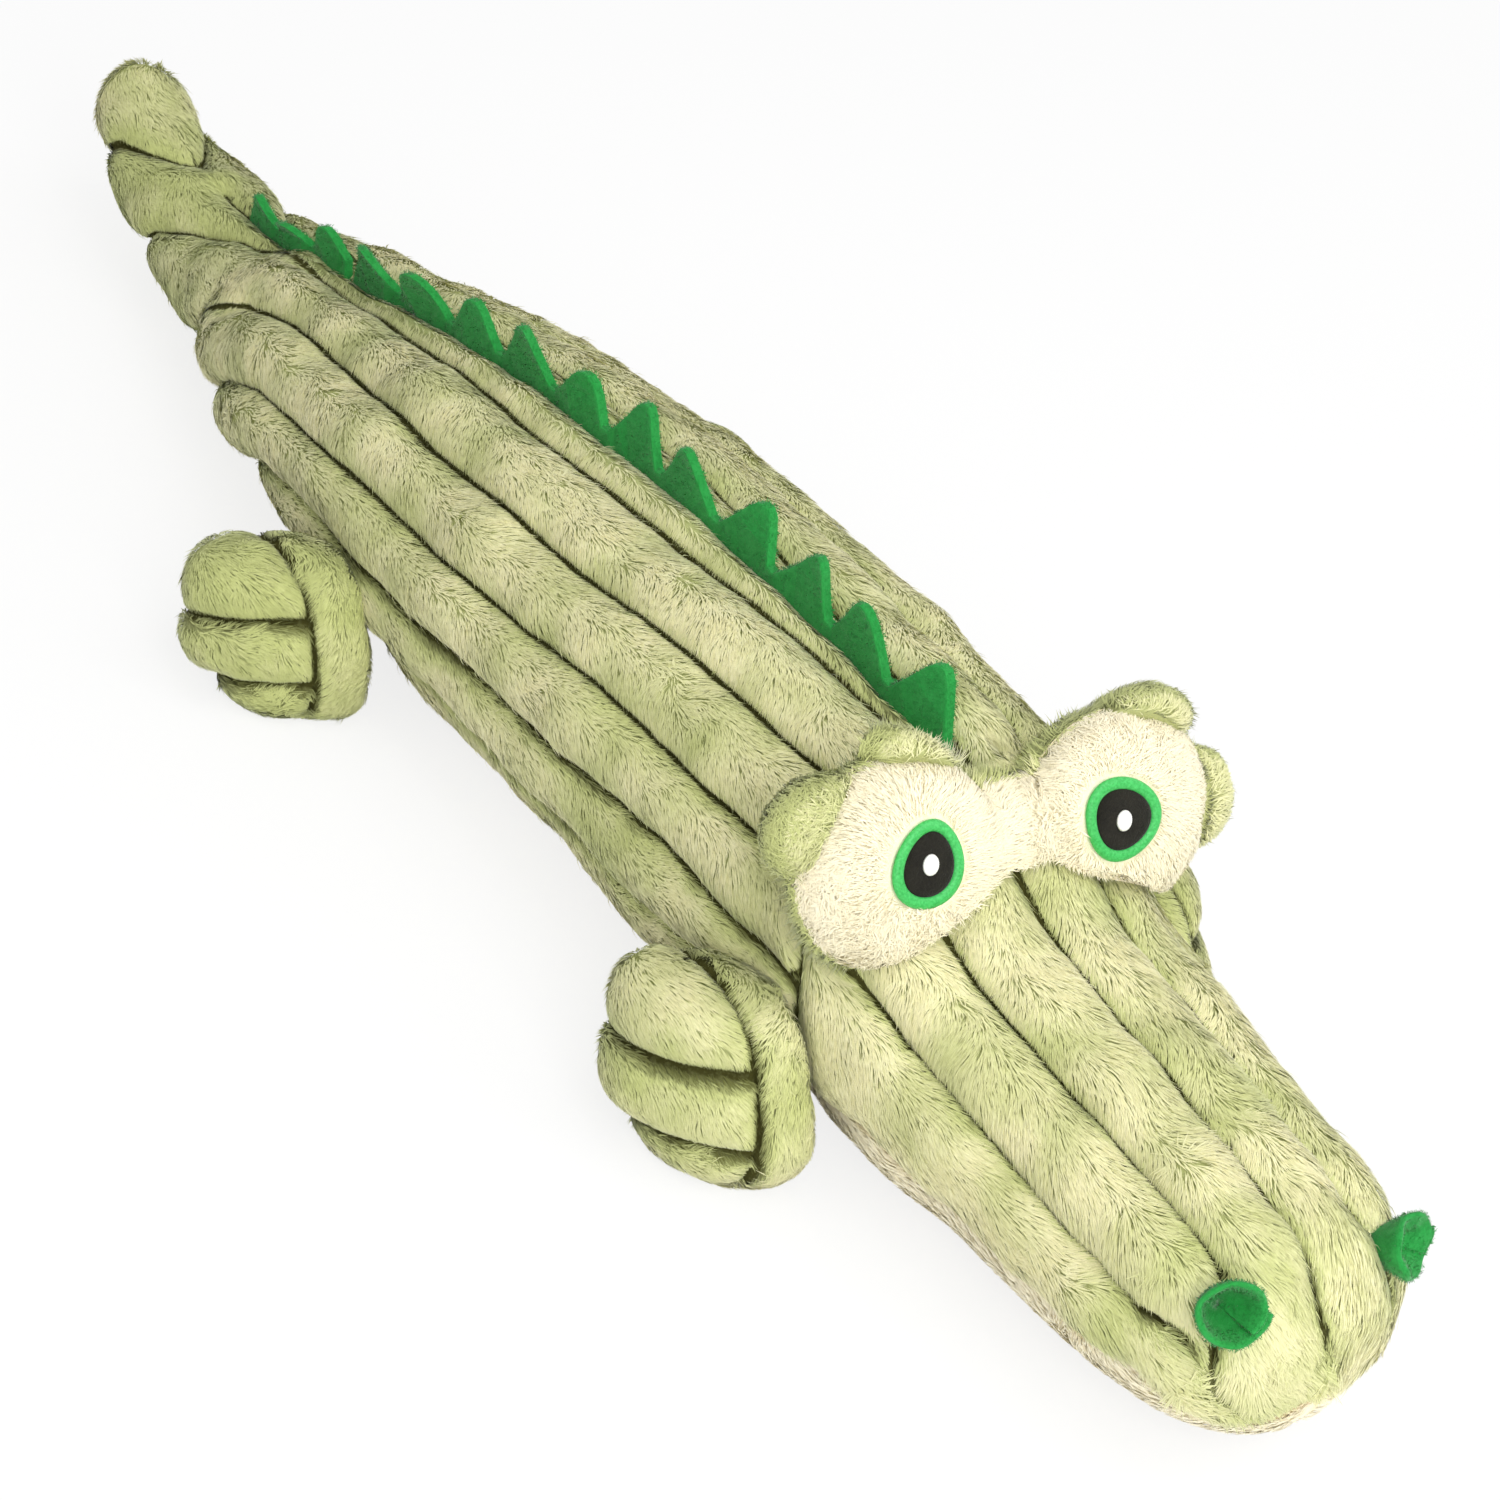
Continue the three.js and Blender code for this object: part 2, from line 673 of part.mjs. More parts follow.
function legRing(spot, side, levelZ, share, inset) {
  const sweep = legSweep * (1 - levelZ / spot.height);
  const long = (legLongRadius - inset) * share;
  const short = (legShortRadius - inset) * share;
  const turn = THREE.MathUtils.degToRad(side < 0 ? spot.turn : tuckedLegTurn);
  const middleX = flankReach(spot.y) + spreadOf(spot, side);
  const ring = [];
  for (let i = 0; i < smallSides; i += 1) {
    const a = (2 * Math.PI * i) / smallSides;
    const along = long * Math.cos(a);
    const across = short * Math.sin(a);
    const x = middleX + along * Math.cos(turn) - across * Math.sin(turn);
    const y = spot.y - sweep + along * Math.sin(turn) + across * Math.cos(turn);
    const nearest = flankReach(y) + inset;
    ring.push(v(side * Math.max(x, nearest), y, levelZ));
  }
  return ring;
}

function legForm(spot, side, shares, inset) {
  const low = legFoot + inset;
  const high = spot.height - inset;
  const rings = shares.map(([up, share]) => legRing(spot, side, low + up * (high - low), share, inset));
  return solid(loftGeometry(rings));
}

const legSpots = [
  {
    name: 'front', y: neckY + frontLegBehind, spread: frontLegSpread, turn: frontLegTurn,
    height: frontLegHeight,
  },
  { name: 'rear', y: neckY + rearLegBehind, spread: rearLegSpread, turn: rearLegTurn, height: rearLegHeight },
];

legSpots.forEach((spot) => {
  sideNames.forEach(([side, sideName]) => {
    const prefix = `${spot.name}_leg_${sideName}`;
    const outer = legForm(spot, side, legLevelShares, 0);
    const hollow = legForm(spot, side, legInnerShares, legSkinDepth);
    const stuffing = shrunk(hollow, turnGap);
    const shell = outer.subtract(hollow);
    const seamX = flankReach(spot.y) + spreadOf(spot, side);
    const outside = side < 0 ? everywhere({}, { x: -seamX }) : everywhere({ x: seamX }, {});
    const inside = side < 0
      ? everywhere({ x: -seamX + seatGap }, {})
      : everywhere({}, { x: seamX - seatGap });
    addPiece(`${prefix}_outer_panel`, shell.intersect(outside), colours.wale, 0.95);
    addPiece(`${prefix}_inner_panel`, shell.intersect(inside), colours.wale, 0.95);
    addPiece(`${prefix}_fill`, stuffing, colours.fibre, 1);
  });
});

// Eye pillow, drawn flat in its own plane: x across, y up, z out of the face
const lobeSides = 27;
const domeShares = [[1, 0], [0.985, 0.3], [0.92, 0.66], [0.8, 0.9], [0.6, 1]];
const bridgeDepthShare = 0.85;

// One lobe: a dome that rises from the pillow's edge seam
function lobeForm(side, radius, depth, scallop) {
  const rings = domeShares.map(([share, up]) => Array.from({ length: lobeSides }, (_, i) => {
    const a = (2 * Math.PI * i) / lobeSides;
    const r = share * (radius + scallop * Math.cos(scallops * a));
    return v(side * lobeSpacing / 2 + r * Math.cos(a), r * Math.sin(a), up * depth);
  }));
  return solid(loftGeometry(rings));
}

// Both lobes and the bridge between them, on one side of the edge seam
function pillowHalf(radius, waist, depth, scallop) {
  const bridge = new THREE.SphereGeometry(1, smallSides, smallSides / 2);
  bridge.scale(lobeSpacing / 2, waist, Math.abs(depth) * bridgeDepthShare);
  const middle = solid(bridge);
  const both = lobeForm(-1, radius, depth, scallop).add(lobeForm(1, radius, depth, scallop)).add(middle);
  return depth > 0
    ? both.intersect(everywhere({ z: seatGap / 2 }, {}))
    : both.intersect(everywhere({}, { z: -seatGap / 2 }));
}

const frontHalf = (inset) => pillowHalf(lobeRadius - inset, waistRadius - inset, pillowFrontDepth - inset, 0);
const backHalf = (inset) => pillowHalf(
  lobeRadius + backRim - inset, waistRadius + backRim - inset, inset - pillowBackDepth, scallopDepth);

const pillow = new THREE.Group();
const pillowY = snoutY + pillowBehindSnout;
pillow.position.set(0, pillowY, headHeight - pillowDrop);
pillow.rotation.set(THREE.MathUtils.degToRad(90 - pillowLean), 0, 0);
toy.add(pillow);
toy.updateMatrixWorld(true);

// The forehead and nape, in the pillow's own frame, so that its open lower edge sits on the head
const intoPillow = pillow.matrixWorld.clone().invert();
const underPillow = (places, seams) => solid(
  geometryOf(bodyForm(places, halfRingPlan(seams), -2 * seatGap, -overrun)).applyMatrix4(intoPillow));
const forehead = underPillow(headPlaces, headSeamShares).add(underPillow(torsoPlaces, torsoSeamShares));

// Egg outline of an eye, with its narrow end turned
function eggOutline(width, height, inset, steps) {
  return Array.from({ length: steps }, (_, i) => {
    const a = (2 * Math.PI * i) / steps;
    const narrow = 1 - eyeEggShare * Math.sin(a);
    return new THREE.Vector2((width / 2 - inset) * Math.cos(a) * narrow, (height / 2 - inset) * Math.sin(a));
  });
}

function flatSolid(outline, low, high, hole) {
  const shape = new THREE.Shape(outline);
  if (hole) {
    shape.holes.push(new THREE.Path(hole));
  }
  const geometry = new THREE.ExtrudeGeometry(shape, { depth: high - low, bevelEnabled: false, steps: 1 });
  geometry.translate(0, 0, low);
  return geometry;
}

const eyeSteps = 28;
const eyes = [
  { side: -1, name: 'right', turn: -8 },
  { side: 1, name: 'left', turn: 155 },
];

function atEye(eye, geometry) {
  geometry.rotateZ(THREE.MathUtils.degToRad(eye.turn));
  geometry.translate(eye.side * eyeSpacing / 2 - eyeShift, eyeRise, 0);
  return solid(geometry);
}

const fillHold = pillowSkin + seatGap;
const frontSkin = frontHalf(0).subtract(frontHalf(pillowSkin));
const backSkin = backHalf(0).subtract(backHalf(pillowSkin));
const seamBand = everywhere({ z: -seatGap }, { z: seatGap });
const pillowStuffing = frontHalf(fillHold)
  .add(backHalf(fillHold + backRim + scallopDepth))
  .add(frontHalf(fillHold).translate([0, 0, -seatGap]).intersect(seamBand));
addPiece('eye_pillow_front', frontSkin.subtract(forehead), colours.cream, 0.95, pillow);
addPiece('eye_pillow_back', backSkin.subtract(forehead), colours.wale, 0.95, pillow);
addPiece('eye_pillow_fill', pillowStuffing.subtract(forehead), colours.fibre, 1, pillow);

eyes.forEach((eye) => {
  const base = pillowFrontDepth + seatGap;
  const outline = (inset) => eggOutline(eyeWidth, eyeHeight, inset, eyeSteps);
  const ring = flatSolid(outline(0), base, base + ringHeight, outline(ringWidth));
  const pupil = flatSolid(outline(ringWidth + seatGap), base, base + pupilHeight);
  const glint = flatSolid(
    eggOutline(2 * highlightRadius, 2.4 * highlightRadius, 0, smallSides / 2),
    base + pupilHeight + seatGap,
    base + pupilHeight + seatGap + highlightHeight);
  addPiece(`eye_ring_${eye.name}`, atEye(eye, ring), colours.thread, 0.45, pillow);
  addPiece(`pupil_${eye.name}`, atEye(eye, pupil), colours.velour, 0.9, pillow);
  addPiece(`eye_glint_${eye.name}`, atEye(eye, glint), colours.glint, 0.5, pillow);
});

// The origin is under the middle of the toy's bounds
const bounds = new THREE.Box3().setFromObject(toy);
toy.position.x = -(bounds.min.x + bounds.max.x) / 2;
toy.position.y = -(bounds.min.y + bounds.max.y) / 2;
toy.updateMatrixWorld(true);

export default toy;
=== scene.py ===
import math
from functools import partial

import bmesh
import bpy
import numpy as np
from mathutils import Matrix, Vector


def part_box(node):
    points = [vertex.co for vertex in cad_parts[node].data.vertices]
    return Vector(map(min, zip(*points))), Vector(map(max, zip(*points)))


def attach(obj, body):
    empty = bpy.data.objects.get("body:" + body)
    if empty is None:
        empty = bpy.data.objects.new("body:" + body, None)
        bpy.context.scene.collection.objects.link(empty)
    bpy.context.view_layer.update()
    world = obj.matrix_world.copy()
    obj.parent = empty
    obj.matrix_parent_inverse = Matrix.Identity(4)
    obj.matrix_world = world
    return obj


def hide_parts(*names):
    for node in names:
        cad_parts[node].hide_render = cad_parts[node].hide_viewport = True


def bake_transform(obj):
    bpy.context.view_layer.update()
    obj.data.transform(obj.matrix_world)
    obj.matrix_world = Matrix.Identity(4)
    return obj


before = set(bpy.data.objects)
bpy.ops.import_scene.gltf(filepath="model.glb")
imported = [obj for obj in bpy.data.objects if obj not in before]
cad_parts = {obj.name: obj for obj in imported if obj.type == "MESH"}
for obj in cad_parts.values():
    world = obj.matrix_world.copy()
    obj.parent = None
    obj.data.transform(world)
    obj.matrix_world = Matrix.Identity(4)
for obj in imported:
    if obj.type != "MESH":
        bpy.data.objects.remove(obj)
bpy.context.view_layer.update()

bl_info = {
    "name": "Plush crocodile dog toy",
    "version": (1, 0, 0),
    "blender": (4, 5, 0),
    "location": "3D View > Sidebar > Dog toy",
    "description": "Sews, stuffs and stages a long plush crocodile toy around its packed frame",
    "category": "Object",
}

# Shapes are worked out in millimetres, with the toy's middle seam at x = 0, and then set in the frame
MM = 0.001
STRIP_LOW, STRIP_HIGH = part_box("torso_spike_strip")
MIDDLE_X = (STRIP_LOW.x + STRIP_HIGH.x) / 2 / MM

HEAD_LENGTH, TORSO_LENGTH, TAIL_LENGTH = 174.0, 378.0, 122.0
WHOLE_LENGTH = HEAD_LENGTH + TORSO_LENGTH + TAIL_LENGTH
SNOUT_Y = -WHOLE_LENGTH / 2
NECK_Y = SNOUT_Y + HEAD_LENGTH
TAIL_Y = NECK_Y + TORSO_LENGTH
TIP_Y = TAIL_Y + TAIL_LENGTH
NECK_TURN_Y = NECK_Y - 42.0
SPLIT_Y = 25.0

# Stations along the body: share of the length, of the half width, and of the height for the top and the bottom
HEAD_STATIONS = (
    (1.0, 0.12, 0.42, 0.27), (0.985, 0.34, 0.5, 0.19), (0.95, 0.54, 0.59, 0.12), (0.89, 0.7, 0.69, 0.09),
    (0.78, 0.78, 0.75, 0.06), (0.6, 0.83, 0.78, 0.04), (0.42, 0.89, 0.8, 0.03), (0.25, 0.95, 0.84, 0.01),
    (0.1, 1.0, 0.93, -0.02),
)
TORSO_STATIONS = (
    (0.0, 0.91, 0.99, -0.03), (0.14, 0.97, 1.01, -0.035), (0.28, 1.0, 1.0, -0.035), (0.44, 1.01, 0.96, -0.035),
    (0.6, 0.98, 0.89, -0.035), (0.74, 0.92, 0.79, -0.035), (0.86, 0.79, 0.69, 0.0), (0.94, 0.66, 0.62, 0.04),
)
TAIL_STATIONS = (
    (0.0, 0.88, 1.02, 0.07), (0.12, 0.78, 0.97, 0.08), (0.28, 0.68, 0.93, 0.1), (0.5, 0.58, 0.91, 0.17),
    (0.72, 0.5, 0.96, 0.29), (0.88, 0.42, 1.07, 0.46), (0.96, 0.32, 1.08, 0.6), (1.0, 0.12, 0.98, 0.74),
)

# Sewn seams on one flank, as places along the body with the share of the way round from the back to the belly
BODY_SEAMS = {
    "head_middle": ((-334, 0.0), (-168, 0.0)),
    "back_middle": ((-166, 0.0), (262, 0.0)),
    "ridge": ((-166, 0.022), (-138, 0.034), (-99, 0.046), (-19, 0.074), (43, 0.088), (117, 0.074), (190, 0.072),
              (216, 0.078), (234, 0.135), (255, 0.3), (270, 0.469), (282, 0.7), (288, 1.0)),
    "shoulder": ((-160, 0.168), (-121, 0.186), (-59, 0.204), (-17, 0.224), (63, 0.238), (111, 0.226),
                 (163, 0.232), (190, 0.29), (208, 0.405), (222, 0.6), (232, 1.0)),
    "flank": ((-163, 0.323), (-111, 0.331), (-57, 0.333), (-21, 0.353), (31, 0.369), (110, 0.375), (150, 0.4),
              (172, 0.47), (188, 0.6), (196, 0.8)),
    "low_flank": ((-168, 0.459), (-147, 0.465), (-107, 0.452), (-33, 0.485), (22, 0.497), (101, 0.503),
                  (135, 0.55), (150, 0.62), (160, 0.76)),
    "belly": ((-176, 0.6), (-60, 0.612), (60, 0.63), (110, 0.66), (130, 0.72)),
    "neck": ((-150, 0.1), (-158, 0.17), (-163, 0.347), (-169, 0.415), (-172, 0.475), (-178, 0.6), (-186, 0.8)),
    "brow": ((-180, 0.172), (-193, 0.178), (-257, 0.19), (-300, 0.205), (-315, 0.216), (-325, 0.33), (-331, 0.52)),
    "cheek": ((-172, 0.345), (-198, 0.347), (-230, 0.367), (-276, 0.408), (-305, 0.42), (-323, 0.405)),
    "tail_fold": ((281, 0.0), (286, 0.1), (295, 0.22), (308, 0.365), (318, 0.6), (322, 1.0)),
}
# Where the green plush ends and the cream panel beneath begins
CREAM_LINE = ((-337, 0.84), (-326, 0.71), (-312, 0.62), (-283, 0.62), (-243, 0.63), (-206, 0.6), (-180, 0.66),
              (-150, 0.72), (150, 0.74), (190, 0.84), (214, 1.0), (340, 1.0))

# The skin sinks this far at most, and less near these places: by how much, the place along the body and the width
SINK_MOST = 9.7
SHALLOW = ((6.6, TAIL_Y - 10.0, 17.0), (2.2, NECK_TURN_Y + 19.0, 20.0), (3.0, NECK_TURN_Y + 27.0, 10.0),
           (1.4, SNOUT_Y + 14.0, 10.0))


def linear(code):
    """Turns an sRGB hex colour into linear red, green, blue and alpha."""
    parts = [int(code[i:i + 2], 16) / 255 for i in (1, 3, 5)]
    return tuple(c / 12.92 if c <= 0.04045 else ((c + 0.055) / 1.055) ** 2.4 for c in parts) + (1.0,)


def colour_property(name, description, code):
    return bpy.props.FloatVectorProperty(
        name=name, description=description, subtype="COLOR", size=4, min=0.0, max=1.0, default=linear(code))


def length_property(name, description, millimetres):
    return bpy.props.FloatProperty(
        name=name, description=description, default=millimetres * MM, min=0.0, unit="LENGTH", precision=5)


class ToySizes(bpy.types.PropertyGroup):
    """Sizes that a user would change."""

    seam_depth: length_property("Seam depth", "How far the sewn seams sink below the crowns of the wales", 8.0)
    wale_reach: length_property("Wale reach", "Distance from a seam to the crown of a full wale", 13.0)
    pile_stand: length_property("Pile stand", "How far the pile stands above the knitted backing", 2.3)
    pile_length: length_property("Pile length", "Length of the combed pile fibres on the body", 5.6)
    snout_pile_length: length_property("Snout pile length", "Length of the looser pile on the snout", 7.2)
    pile_width: length_property("Wisp width", "Width of one drawn wisp, a few real fibres side by side", 0.42)
    wisp_density: bpy.props.FloatProperty(
        name="Wisp density", description="Wisps on each square millimetre of plush", default=3.6, min=0.0)
    felt_thickness: length_property("Felt thickness", "Thickness of the felt spikes", 3.2)
    spike_lean: bpy.props.FloatProperty(
        name="Spike lean", description="How far the felt spikes lean over", default=math.radians(6),
        subtype="ANGLE")


class ToyColours(bpy.types.PropertyGroup):
    """Colours that a user would change."""

    # Painted shade: the dark backing colour stands for the shade in the seams
    backing: colour_property("Backing", "Knitted backing in the seams", "#45441f")
    under_pile: colour_property("Under pile", "Backing with the foot of the pile on it", "#b9be82")
    # Painted shade: the pile's roots are coloured darker for the shade between its fibres
    pile_root: colour_property("Pile root", "Shaded green at the foot of the pile", "#5c5e2c")
    pile_green: colour_property("Pile green", "Greener patches of the pile", "#cbd18b")
    pile_tip: colour_property("Pile tip", "Creamy tips of the pile", "#f6f1c2")
    # Painted shade: the cream pile's roots, and the cream backing in its seams, are coloured a little darker
    cream_root: colour_property("Cream root", "Foot of the cream pile", "#f8e8c0")
    cream_tip: colour_property("Cream tip", "Tips of the cream pile", "#fff7da")
    felt: colour_property("Felt", "Green felt of the spikes and nostrils", "#1f8f3b")
    felt_light: colour_property("Felt highlight", "Lighter stray fibres of the felt", "#3aa652")
    thread: colour_property("Eye thread", "Green embroidery thread round the eyes", "#27a345")
    # Painted highlight: the lighter thread colour stands for light on the tops of the stitches
    thread_painted_highlight: colour_property("Eye thread light", "Top of the embroidery thread", "#4fcb6a")
    pupil: colour_property("Pupil", "Black felt of the pupils", "#100f0c")
    glint: colour_property("Glint", "White embroidery of the eye highlight", "#f3eee4")
    floor: colour_property("Floor", "Plain pale floor", "#ffffff")


# Shapes

def station_table():
    rows = []
    for table, start, end, half, height in (
            (HEAD_STATIONS, NECK_Y, SNOUT_Y, 62.0, 102.0), (TORSO_STATIONS, NECK_Y, TAIL_Y, 70.0, 106.0),
            (TAIL_STATIONS, TAIL_Y, TIP_Y, 43.0, 57.0)):
        rows += [(start + a * (end - start), w * half, t * height, b * height) for a, w, t, b in table]
    return np.array(rows)


STATIONS = station_table()


def station_value(column, y):
    """One smooth value of the body's section at places along its length."""
    y = np.clip(y, STATIONS[0, 0], STATIONS[-1, 0])
    last = len(STATIONS) - 1
    i = np.clip(np.searchsorted(STATIONS[:, 0], y) - 1, 0, last - 1)
    before = np.maximum(np.arange(last + 1) - 1, 0)
    after = np.minimum(np.arange(last + 1) + 1, last)
    slope = (STATIONS[after, column] - STATIONS[before, column]) / (STATIONS[after, 0] - STATIONS[before, 0])
    span = STATIONS[i + 1, 0] - STATIONS[i, 0]
    t = (y - STATIONS[i, 0]) / span
    rise = t * t * (3 - 2 * t)
    lead = (t ** 3 - 2 * t * t + t) * span * slope[i]
    trail = (t ** 3 - t * t) * span * slope[i + 1]
    return STATIONS[i, column] * (1 - rise) + STATIONS[i + 1, column] * rise + lead + trail


SWELLS = 14


def swells(size, seed):
    """Ways and phases of random swells, with lumps of a given size in millimetres."""
    rng = np.random.default_rng(seed)
    ways = rng.normal(size=(SWELLS, 3))
    ways *= (math.pi / size) * (rng.uniform(0.6, 1.4, SWELLS) / np.linalg.norm(ways, axis=1))[:, None]
    return zip(ways, rng.uniform(0, 2 * math.pi, SWELLS))


def waves(points, size, seed):
    """Smooth random swells between about -1 and 1."""
    total = np.zeros(points.shape[:-1])
    for way, phase in swells(size, seed):
        total += np.sin(points @ way + phase)
    return total * math.sqrt(2.0 / SWELLS) / 1.5


def wave_slope(points, size, seed):
    """The uphill direction of such swells, scaled to about 1."""
    total = np.zeros(points.shape)
    for way, phase in swells(size, seed):
        total += np.cos(points @ way + phase)[..., None] * (way * size / math.pi)
    return total * math.sqrt(2.0 / SWELLS)


def unit(vectors):
    return vectors / np.maximum(np.linalg.norm(vectors, axis=-1, keepdims=True), 1e-9)


def grid_normals(points, outward):
    """Unit normals of a grid of points, on the outward side."""
    normal = unit(np.cross(np.gradient(points, axis=0), np.gradient(points, axis=1)))
    flip = np.sign(np.sum(normal * outward, axis=-1, keepdims=True))
    return normal * np.where(flip == 0, 1, flip)


def route_distance(y, round_mm, reach, routes):
    """Distance in millimetres from places on the flank to the nearest sewn seam."""
    nearest = np.full(y.shape, 1e3)
    for route in routes:
        line = np.array(route, float)
        line_round = line[:, 1] * reach(line[:, 0])
        for k in range(len(line) - 1):
            ax, ay, bx, by = line[k, 0], line_round[k], line[k + 1, 0], line_round[k + 1]
            dx, dy = bx - ax, by - ay
            t = np.clip(((y - ax) * dx + (round_mm - ay) * dy) / (dx * dx + dy * dy), 0, 1)
            nearest = np.minimum(nearest, np.hypot(y - ax - t * dx, round_mm - ay - t * dy))
    return nearest


def half_girth(y):
    """Length from the back to the belly round one flank."""
    half = station_value(1, y)
    rise = (station_value(2, y) - station_value(3, y)) / 2
    return math.pi * np.sqrt((half ** 2 + rise ** 2) / 2)


def flank_points(rows, shares, side):
    """Points of one flank: rows are (y, shrink, bulge), shares are a grid of ways round from back to belly."""
    steps = 72
    middles = math.pi * (np.arange(steps) + 0.5) / steps
    points = np.zeros(shares.shape + (3,))
    for r, (y, shrink, bulge) in enumerate(rows):
        top, bottom = float(station_value(2, y)), float(station_value(3, y))
        half, rise, middle = float(station_value(1, y)), (top - bottom) / 2, (top + bottom) / 2
        lengths = np.concatenate([[0], np.cumsum(np.hypot(half * np.cos(middles), rise * np.sin(middles)))])
        angle = np.interp(shares[r] * lengths[-1], lengths, math.pi * np.arange(steps + 1) / steps)
        points[r, :, 0] = side * half * shrink * np.sin(angle)
        points[r, :, 1] = y + bulge
        points[r, :, 2] = middle + rise * shrink * np.cos(angle)
    return points


def body_rows(start, end, step):
    """Places along the body, crowded towards a rounded end, with the end closed over."""
    count = int(abs(end - start) / step)
    ends = {SNOUT_Y: -1, TIP_Y: 1}
    tip = start if start in ends else end if end in ends else None
    if tip is None:
        return [(y, 1.0, 0.0) for y in np.linspace(start, end, count)]
    base = end if tip == start else start
    turns = np.sin(np.linspace(0, math.pi / 2, int(count * 1.25)))
    rows = [(base + (tip - base) * t, 1.0, 0.0) for t in turns]
    rows += [(tip, k, ends[tip] * 2.5 * (1 - k * k)) for k in (0.85, 0.65, 0.45, 0.25, 0.04)]
    return rows if tip == end else rows[::-1]


class Cloth:
    """A grid of points on a skin, with the distance to its nearest seam, from which the pile grows."""

    def __init__(self, points, normal, seam):
        self.points, self.normal, self.seam = points, normal, seam
        self.along, self.across = np.gradient(points, axis=0), np.gradient(points, axis=1)
        down, right = np.gradient(seam)
        pull = (self.along * (down / np.maximum(np.sum(self.along ** 2, -1), 1e-6))[..., None]
                + self.across * (right / np.maximum(np.sum(self.across ** 2, -1), 1e-6))[..., None])
        self.to_seam = -pull / np.maximum(np.linalg.norm(pull, axis=-1, keepdims=True), 0.3)

    def at(self, values, row, column):
        """The values of a grid between its points."""
        row, column = np.clip(row, 0, len(values) - 1.001), np.clip(column, 0, values.shape[1] - 1.001)
        i, j = row.astype(int), column.astype(int)
        s, t = (row - i)[:, None], (column - j)[:, None]
        grid = values if values.ndim == 3 else values[..., None]
        return ((grid[i, j] * (1 - s) + grid[i + 1, j] * s) * (1 - t)
                + (grid[i, j + 1] * (1 - s) + grid[i + 1, j + 1] * s) * t)

    def walk(self, row, column, ways, steps):
        """Ends of steps along the cloth, which run straight on past its edge, and the normals there."""
        a, b = self.at(self.along, row, column), self.at(self.across, row, column)
        aa, ab, bb, aw, bw = (np.sum(p * q, -1) for p, q in ((a, a), (a, b), (b, b), (a, ways), (b, ways)))
        area = np.maximum(aa * bb - ab * ab, 1e-3)
        rows, columns = steps * (aw * bb - bw * ab) / area, steps * (bw * aa - aw * ab) / area
        last_row, last_column = len(self.points) - 1.001, self.points.shape[1] - 1.001
        room = np.ones(len(rows))
        for start, change, last in ((row, rows, last_row), (column, columns, last_column)):
            change = np.where(np.abs(change) < 1e-6, 1e-6, change)
            room = np.minimum(room, (np.clip(start + change, 0, last) - start) / change)
            room = np.minimum(room, 8 / np.abs(change))
        room = np.clip(room, 0, 1)
        end_row, end_column = row + rows * room, column + columns * room
        ends = self.at(self.points, end_row, end_column) + ways * (steps * (1 - room))[:, None]
        return ends, unit(self.at(self.normal, end_row, end_column))


# Just short of 1, so that a seam's floor isn't infinitely steep
CREASE = 0.98


def quilt_sink(seam, sizes):
    """How far the skin sinks at a distance from its seam: full round wales that meet in a sharp crease."""
    near = np.clip(1 - seam / (sizes.wale_reach / MM), 0, 1)
    return sizes.seam_depth / MM * (1 - np.sqrt(1 - near ** 2 * CREASE))


# The grid of a flank: millimetres between rows, and columns from the back to the belly
ROW_STEP, GREEN_COLUMNS, CREAM_COLUMNS = 2.1, 132, 36


def flank_cloth(start, end, side, sizes, cream=False):
    """The quilted skin of one flank, or the plain panel beneath it, before the pile."""
    rows = body_rows(start, end, ROW_STEP)
    ys = np.array([r[0] for r in rows])
    line = np.interp(ys, *np.array(CREAM_LINE, float).T)
    columns = np.linspace(0, 1, CREAM_COLUMNS if cream else GREEN_COLUMNS)
    shares = line[:, None] + (1 - line[:, None]) * columns if cream else line[:, None] * columns
    points = flank_points(rows, shares, side)
    centre = np.stack([np.zeros_like(ys), ys, (station_value(2, ys) + station_value(3, ys)) / 2], -1)
    outward = points - centre[:, None]
    normal = grid_normals(points, outward)
    y_grid = np.repeat(ys[:, None], shares.shape[1], 1)
    seam = route_distance(y_grid, shares * half_girth(y_grid), half_girth, BODY_SEAMS.values())
    edge = np.abs(shares - line[:, None]) * half_girth(y_grid)
    if cream:
        seam = np.where(shares > line[:, None] + 0.02, np.minimum(edge, 60), edge)
    else:
        seam = np.where(line[:, None] < 0.999, np.minimum(seam, edge), seam)
    slim = (np.clip(station_value(1, ys) / 30, 0.25, 1) * np.clip(0.5 + (ys - SNOUT_Y) / 54, 0, 1))[:, None]
    sink = quilt_sink(seam, sizes) * slim
    crown = np.clip(seam / (sizes.wale_reach / MM), 0, 1)
    # Seams draw the cloth into puckers, and the filling is lumpy
    sink += 1.1 * (1 - crown) ** 0.7 * (0.5 + 0.5 * waves(points, 13.0, 5)) * slim * (0.3 if cream else 1)
    sink += (1.1 * waves(points, 34.0, 6) + 0.45 * waves(points, 16.0, 7)) * slim
    # The skin stays outside the stuffing, at rest and with each joint bent
    room = SINK_MOST - sum(less * np.exp(-((points[..., 1] - y) / width) ** 2) for less, y, width in SHALLOW)
    sink = np.minimum(sink + sizes.pile_stand / MM * (0.4 if cream else 1.0), room)
    points = points - normal * sink[..., None]
    points[..., 2] = np.maximum(points[..., 2], 1.2 if cream else 2.0)
    points[:, 0, 0] = np.where(shares[:, 0] == 0, 0, points[:, 0, 0])
    if cream:
        points[:, -1, 0] = 0
    normal = grid_normals(points, outward)
    return Cloth(points, normal, seam)


def row_frame(points):
    return (points + np.array([MIDDLE_X, 0, 0])) * MM


def object_of(name, mesh, material):
    mesh.materials.append(material)
    piece = bpy.data.objects.new(name, mesh)
    bpy.context.scene.collection.objects.link(piece)
    return piece


